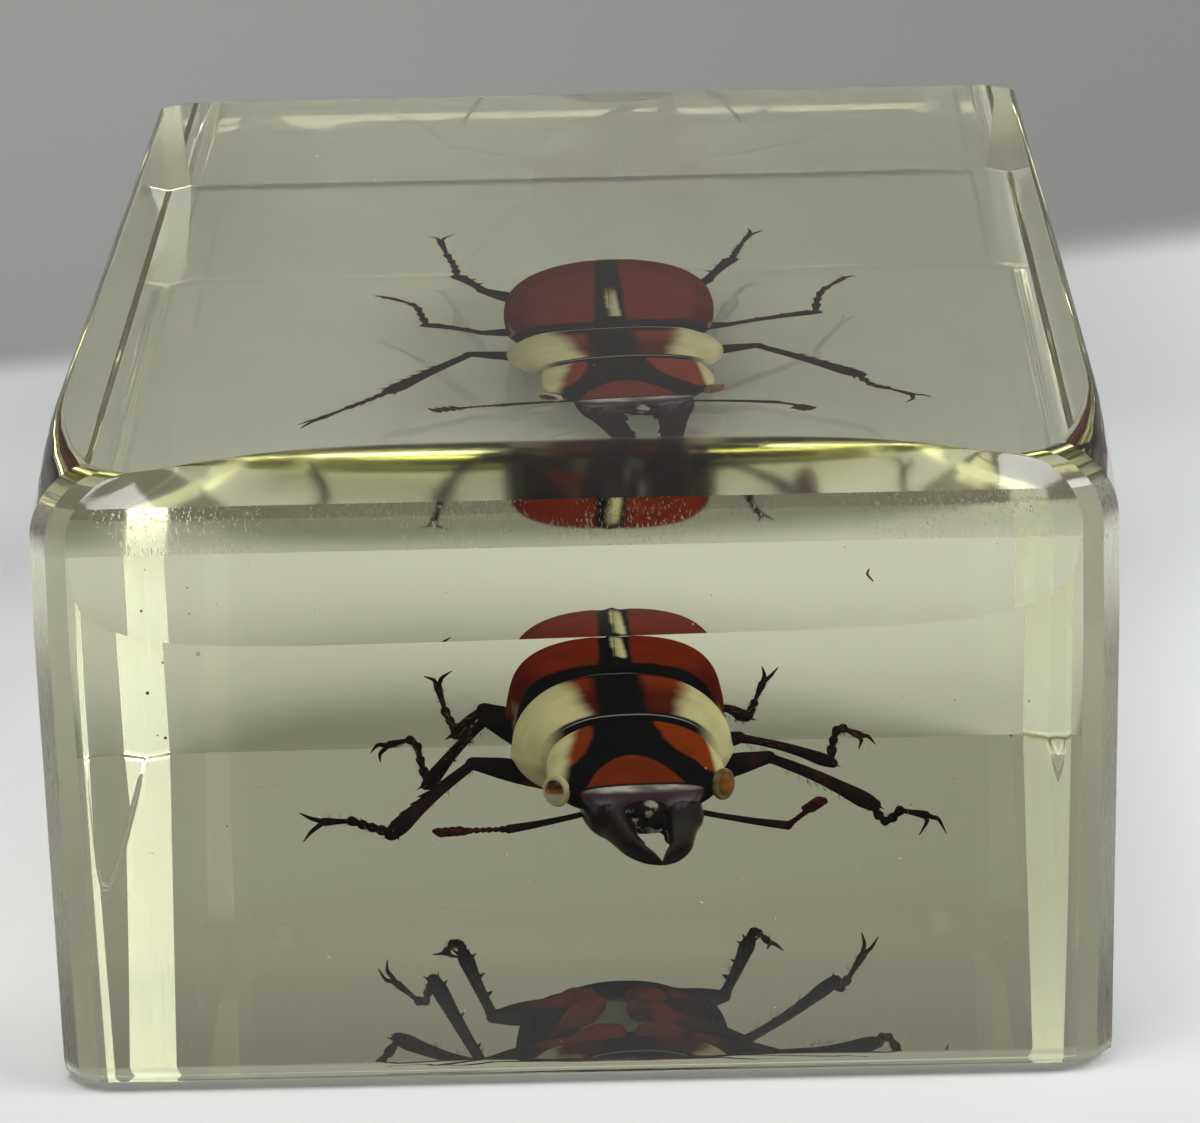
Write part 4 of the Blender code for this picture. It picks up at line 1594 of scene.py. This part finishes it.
class SPECIMEN_OT_fore_body(bpy.types.Operator):
    """Builds the shield behind the head, the head, the eyes, the jaws and the mouthparts"""

    bl_idname = "specimen.fore_body"
    bl_label = "Pronotum and head"

    def execute(self, context):
        pronotum = chitin("pronotum_shell", pronotum_paint, pit_depth=0.4)
        head = chitin("head_shell", head_paint, pit_depth=0.6)
        jaw = chitin("jaw_horn", jaw_paint, roughness=0.16, pit_depth=0.3, gloss=0.02)
        eye = chitin("eye_shell", eye_paint, roughness=0.16, pits=5200.0, gloss=0.1)
        eye_ring = chitin("eye_ring_shell", ring_paint, roughness=0.35)
        mouth = chitin("mouth_shell", mouth_paint, roughness=0.4)
        add_part("pronotum", pronotum_mesh(), pronotum)
        add_part("head", head_mesh(), head)
        add_part("mandibles", mandibles_mesh(), jaw)
        add_part("eyes", eyes_mesh(), eye)
        add_part("eye_rings", eye_rings_mesh(), eye_ring)
        add_part("mouthparts", mouthparts_mesh(), mouth)
        return {"FINISHED"}


class SPECIMEN_OT_limbs(bpy.types.Operator):
    """Builds the legs with their feet, claws, spines and hairs, and the antennae"""

    bl_idname = "specimen.limbs"
    bl_label = "Legs and antennae"

    def execute(self, context):
        dark = chitin("leg_shell", leg_paint, roughness=0.3, pit_depth=0.7)
        feeler = chitin("feeler_shell", feeler_paint, roughness=0.34)
        golden = mottled(HAIR_BROWN, HAIR_GOLD, 400.0)
        hair = chitin("leg_hair", golden, roughness=0.45, pit_depth=0.1)
        add_part("legs", legs_mesh(), dark)
        add_part("claws", claws_mesh(), dark)
        add_part("antennae", feelers_mesh(), feeler)
        add_repeats("foot_joints", JOINT_PROFILE, 14, foot_spots(), dark, 0.05, 3)
        add_repeats("antenna_joints", KNOT_PROFILE, 12, feeler_spots(), feeler, 0.05, 4)
        add_repeats("shin_spines", SPINE_PROFILE, 10, shin_spine_spots(), dark, 0.2, 5)
        add_repeats("leg_hairs", HAIR_PROFILE, 5, hair_spots(), hair, 0.25, 6)
        return {"FINISHED"}


# ---- Flaws in the resin ----

# Pale specks stand for motes caught in the resin and for tiny air bubbles, whose glints are painted as pale
# specks.
PALE_SPECKS = (
    (-14.6, -34.6, 19.6), (-14.6, -34.1, 18.5), (-14.4, -32.6, 16.7), (-15.6, -35.5, 16.9), (17.1, -33.6, 14.3),
    (4.5, -30.6, 5.9), (-9.9, -31.6, 4.2), (-3.9, -27.6, 13.7), (12.1, -32.6, 7.9), (14.4, -28.6, 13.5),
)
DARK_SPECKS = (
    (-16.3, -36.0, 19.0), (-16.1, -36.0, 20.6), (-16.2, -36.0, 15.8), (-15.6, -35.9, 14.0), (-15.9, -35.9, 14.1),
    (-13.4, -36.2, 10.5), (16.3, -36.1, 13.4), (19.8, -35.3, 20.9), (19.9, -35.1, 19.6),
)
FIBRE = ((11.06, -35.0, 19.8, 0.03), (11.0, -34.95, 19.6, 0.05), (11.2, -35.0, 19.35, 0.03))
HAIRLINES = (  # two pale scratches just under the front face, as x, y, z and radius
    ((-12.84, -36.33, 12.04, 0.006), (-11.9, -36.33, 12.08, 0.012), (-11.02, -36.33, 12.1, 0.006)),
    ((-5.51, -36.24, 6.98, 0.006), (-4.7, -36.24, 7.04, 0.012), (-3.99, -36.24, 7.07, 0.006)),
)
FIBRE_DETAIL = (16, 8)
HAIRLINE_DETAIL = (12, 6)
LOOSE_SPECKS = 70
LOOSE_SEED = 11
LOOSE_REACH = ((-19.0, -35.0, 1.0), (19.0, 34.0, 22.0))
BEETLE_REACH = ((-5.0, -18.5, 4.0), (7.5, 15.0, 12.0))
PALE_RADIUS = 0.06
LOOSE_RADIUS = 0.028
DARK_RADIUS = 0.05
SPECK_VARIATION = 0.35
SPECK_SIDES = 10
SPECK_PROFILE = ((-0.85, 0.5), (-0.45, 0.9), (0.0, 1.0), (0.45, 0.9), (0.85, 0.5))
# Pale colours for motes and scratches, and for the painted glints of tiny air bubbles.
DUST_AND_GLINT_PALE = (0.62, 0.62, 0.54)
DUST_AND_GLINT_YELLOW = (0.72, 0.70, 0.50)
DIRT_DARK = (0.03, 0.02, 0.012)
DIRT_BROWN = (0.10, 0.06, 0.02)
MOTTLE_SCALE = 900.0


def speck_spots(places, radius):
    return [(place, UP, (radius, radius, radius)) for place in places]


# The loose specks are pale: motes, and painted glints of tiny air bubbles.
def loose_specks():
    """Places of fine dust all through the resin but not in the beetle, from fixed random draws."""
    draws = np.random.default_rng(LOOSE_SEED)
    low, high = (np.array(corner) for corner in BEETLE_REACH)
    found = []
    for _ in range(LOOSE_SPECKS):
        x, y, z = draws.uniform(*LOOSE_REACH)
        if not all(low < (x, y, z)) or not all((x, y, z) < high):
            found.append((x, y, z))
    return found


class SPECIMEN_OT_flaws(bpy.types.Operator):
    """Adds the specks and the fibre that were caught in the resin, and two hairline scratches"""

    bl_idname = "specimen.flaws"
    bl_label = "Specks, fibre and scratches"

    def execute(self, context):
        # Pale finish for the scratches and for the specks, partly painted glints of air bubbles.
        dust_and_glints = chitin("pale_dust_and_glints", mottled(DUST_AND_GLINT_PALE, DUST_AND_GLINT_YELLOW, MOTTLE_SCALE), roughness=0.5)
        dirt = chitin("brown_dirt", mottled(DIRT_DARK, DIRT_BROWN, MOTTLE_SCALE), roughness=0.5)
        for name, lines, detail, material in (
            ("fibre", (FIBRE,), FIBRE_DETAIL, dirt),
            ("hairlines", HAIRLINES, HAIRLINE_DETAIL, dust_and_glints),
        ):
            builder = bmesh.new()
            for line in lines:
                add_limb(builder, line, *detail)
            finish_piece(new_object(name, builder, material), "clear_resin")
        pale = speck_spots(PALE_SPECKS, PALE_RADIUS) + speck_spots(loose_specks(), LOOSE_RADIUS)
        dark = speck_spots(DARK_SPECKS, DARK_RADIUS)
        for name, spots, material, seed in (
            ("pale_specks", pale, dust_and_glints, 8),
            ("dark_specks", dark, dirt, 9),
        ):
            bead = turned_bead(name + "_bead", SPECK_PROFILE, SPECK_SIDES)
            part = repeated(name, bead, spots, material, SPECK_VARIATION, seed)
            finish_piece(part, "clear_resin")
        return {"FINISHED"}


# ---- Stage ----

FLOOR_DROP = 0.25
FLOOR_FRONT = -420.0
FLOOR_HALF_WIDTH = 600.0
SWEEP_START = 70.0
SWEEP_RADIUS = 60.0
SWEEP_STEPS = 16
BACKDROP_HEIGHT = 420.0
# Painted shade: how much darker the floor is painted behind the block, and the backdrop towards +X.
FLOOR_SHADE_BEHIND = 0.62  # of the floor behind the block
BACKDROP_SHADE_SIDE = 0.76  # of the backdrop towards +X
# Painted shade: grey and dark bands on the floor in front of the block, and the darker top of the backdrop.
GREY_FLOOR_SHADE = (0.3, 0.3, 0.3)
DARK_FLOOR_SHADE = (0.03, 0.03, 0.03)
BACKDROP_TOP_SHADE = (0.095, 0.087, 0.082)
SENSOR_WIDTH = 36.0
CLIP_START = 0.01
AIR_COLOUR = (0.85, 0.87, 0.9, 1.0)
AIR_STRENGTH = 0.16
WHITE = (1.0, 1.0, 1.0)
COOL_WHITE = (0.9, 0.94, 1.15)
SOFTBOXES = (  # name, place, the point it faces, width and height, power and colour
    ("key_softbox", (-80, -170, 405), (0, 0, 0), (260, 260), 1.75, WHITE),
    ("fill_softbox", (300, -130, 300), (0, 0, 10), (240, 200), 1.5, WHITE),
    ("low_softbox_-75", (-75, 20, 12), (0, 20, 12), (110, 20), 0.0060, COOL_WHITE),
    ("high_softbox_-75", (-75, 20, 42), (0, 20, 42), (110, 32), 0.0056, COOL_WHITE),
    ("low_softbox_+75", (75, 20, 12), (0, 20, 12), (110, 20), 0.0100, COOL_WHITE),
    ("high_softbox_+75", (75, 20, 42), (0, 20, 42), (110, 32), 0.0105, COOL_WHITE),
)
LIGHT_BOUNCES = 16  # light turns many times inside the block before it leaves through a corner
DIFFUSE_BOUNCES = 1


def sweep_profile():
    """The floor and the backdrop as one curve, from the front up to the top."""
    points = [(FLOOR_FRONT, 0.0), (SWEEP_START * 0.5, 0.0), (SWEEP_START, 0.0)]
    for k in range(1, SWEEP_STEPS + 1):
        turn = math.radians(90 * k / SWEEP_STEPS)
        y = SWEEP_START + SWEEP_RADIUS * math.sin(turn)
        points.append((y, SWEEP_RADIUS * (1 - math.cos(turn))))
    points.append((SWEEP_START + SWEEP_RADIUS, BACKDROP_HEIGHT))
    return points


def sweep_mesh():
    builder = bmesh.new()
    sides = []
    for x in (-FLOOR_HALF_WIDTH, FLOOR_HALF_WIDTH):
        sides.append([builder.verts.new((x, y, z - FLOOR_DROP)) for y, z in sweep_profile()])
    for k in range(len(sides[0]) - 1):
        builder.faces.new((sides[0][k], sides[1][k], sides[1][k + 1], sides[0][k + 1]))
    return builder


# Darkens a colour, for painted shade.
def painted_shade_of(colour, share):
    return tuple(share * value for value in colour)


def stage_material(settings):
    """A pale floor and a grey backdrop that is clear from behind, with painted shade: the floor darker behind
    the block and in bands in front of it, the backdrop darker towards +X and at its top.
    """
    material, tree, shader, place = new_material("stage_sweep")
    scaled = {0: place, "Scale": 1 / MM}
    in_mm = add_node(tree, "ShaderNodeVectorMath", scaled, operation="SCALE").outputs["Vector"]
    axes = add_node(tree, "ShaderNodeSeparateXYZ", {"Vector": in_mm})
    across, along, height = (Field(tree, axes.outputs[key]) for key in ("X", "Y", "Z"))
    aside = across.size()
    soft = Field(tree, noise(tree, place, 14.0)) * 4.0
    # Painted shade on the floor: darker behind the block, grey and dark bands in front of it.
    behind = along.step(5.0, 85.0) * aside.step(60.0, 20.0)
    grey = along.step(-20.0, -42.0) * along.step(-170.0, -140.0) * 0.35
    dark = along.step(-43.0, -56.0) * along.step(-160.0, -130.0) * aside.step(90.0, 60.0)
    backdrop = (along - across * 0.19 + soft).step(85.5, 90.5)
    colour = painted(
        tree,
        settings.floor_colour,
        (behind, painted_shade_of(settings.floor_colour, FLOOR_SHADE_BEHIND)),
        (grey, GREY_FLOOR_SHADE),
        (dark, DARK_FLOOR_SHADE),
        (backdrop, settings.backdrop_colour),
        # Painted shade on the backdrop, towards +X and at its top.
        (backdrop * across.step(-40.0, 40.0), painted_shade_of(settings.backdrop_colour, BACKDROP_SHADE_SIDE)),
        (height.step(32.0, 50.0), BACKDROP_TOP_SHADE),
    )
    set_inputs(tree, shader, Base_Color=colour, Roughness=0.8)
    inner_side = add_node(tree, "ShaderNodeNewGeometry").outputs["Backfacing"]
    unseen = add_node(tree, "ShaderNodeBsdfTransparent").outputs["BSDF"]
    shaders = {0: inner_side, 1: unseen, 2: shader.outputs["BSDF"]}
    one_sided = add_node(tree, "ShaderNodeMixShader", shaders).outputs["Shader"]
    tree.links.new(one_sided, tree.nodes["Material Output"].inputs["Surface"])
    return material


def add_area_light(name, place, target, size, power, colour):
    data = bpy.data.lights.new(name, "AREA")
    data.shape = "RECTANGLE"
    data.size, data.size_y = size[0] * MM, size[1] * MM
    data.energy = power
    data.color = colour
    light = link_new(name, data)
    light.location = Vector(place) * MM
    light.rotation_euler = (Vector(target) - Vector(place)).to_track_quat("-Z", "Y").to_euler()


def camera_matrix(settings):
    """The camera's place and turn from its pitch below the horizon, its yaw and its roll."""
    pitch, yaw, roll = settings.camera_turn
    ahead = Vector((math.sin(yaw) * math.cos(pitch), math.cos(yaw) * math.cos(pitch), -math.sin(pitch)))
    right = Vector((math.cos(yaw), -math.sin(yaw), 0.0))
    up = right.cross(ahead)
    rolled_right = math.cos(roll) * right + math.sin(roll) * up
    rolled_up = math.cos(roll) * up - math.sin(roll) * right
    turn = Matrix((rolled_right, rolled_up, -ahead)).transposed().to_4x4()
    return Matrix.Translation(Vector(settings.camera_place) * MM) @ turn


class SPECIMEN_OT_stage(bpy.types.Operator):
    """Adds the camera, the soft lights, the pale floor and the grey backdrop"""

    bl_idname = "specimen.stage"
    bl_label = "Stage"

    def execute(self, context):
        settings = context.scene.specimen_stage
        data = bpy.data.cameras.new("camera")
        data.lens = settings.lens
        data.sensor_width = SENSOR_WIDTH
        data.clip_start = CLIP_START
        camera = link_new("camera", data)
        camera.matrix_world = camera_matrix(settings)
        context.scene.camera = camera

        sweep = new_object("stage_sweep", sweep_mesh(), stage_material(settings))

        world = bpy.data.worlds.new("soft_studio")
        world.use_nodes = True
        shine = world.node_tree.nodes["Background"]
        shine.inputs["Color"].default_value = AIR_COLOUR
        shine.inputs["Strength"].default_value = AIR_STRENGTH
        context.scene.world = world
        for softbox in SOFTBOXES:
            add_area_light(*softbox)
        context.scene.view_settings.view_transform = "Standard"
        for kind in ("max_bounces", "transmission_bounces", "glossy_bounces"):
            setattr(context.scene.cycles, kind, LIGHT_BOUNCES)
        context.scene.cycles.diffuse_bounces = DIFFUSE_BOUNCES
        return {"FINISHED"}


# ---- Add-on ----


class SPECIMEN_PT_panel(bpy.types.Panel):
    """Lists the pieces of the specimen in the sidebar"""

    bl_idname = "SPECIMEN_PT_panel"
    bl_label = "Specimen in resin"
    bl_space_type = "VIEW_3D"
    bl_region_type = "UI"
    bl_category = "Specimen"

    def draw(self, context):
        for step in STEPS:
            self.layout.operator(step.bl_idname)


STEPS = (
    SPECIMEN_OT_stage,
    SPECIMEN_OT_resin_block,
    SPECIMEN_OT_wing_cases,
    SPECIMEN_OT_fore_body,
    SPECIMEN_OT_limbs,
    SPECIMEN_OT_flaws,
)
CLASSES = (BlockSettings, BeetleSettings, StageSettings, *STEPS, SPECIMEN_PT_panel)


def register():
    for item in CLASSES:
        bpy.utils.register_class(item)
    bpy.types.Scene.specimen_block = bpy.props.PointerProperty(type=BlockSettings)
    bpy.types.Scene.specimen_beetle = bpy.props.PointerProperty(type=BeetleSettings)
    bpy.types.Scene.specimen_stage = bpy.props.PointerProperty(type=StageSettings)


def unregister():
    del bpy.types.Scene.specimen_block
    del bpy.types.Scene.specimen_beetle
    del bpy.types.Scene.specimen_stage
    for item in reversed(CLASSES):
        bpy.utils.unregister_class(item)


def main():
    register()
    bpy.ops.specimen.stage()
    bpy.ops.specimen.resin_block()
    bpy.ops.specimen.wing_cases()
    bpy.ops.specimen.fore_body()
    bpy.ops.specimen.limbs()
    bpy.ops.specimen.flaws()


if __name__ == "__main__":
    main()
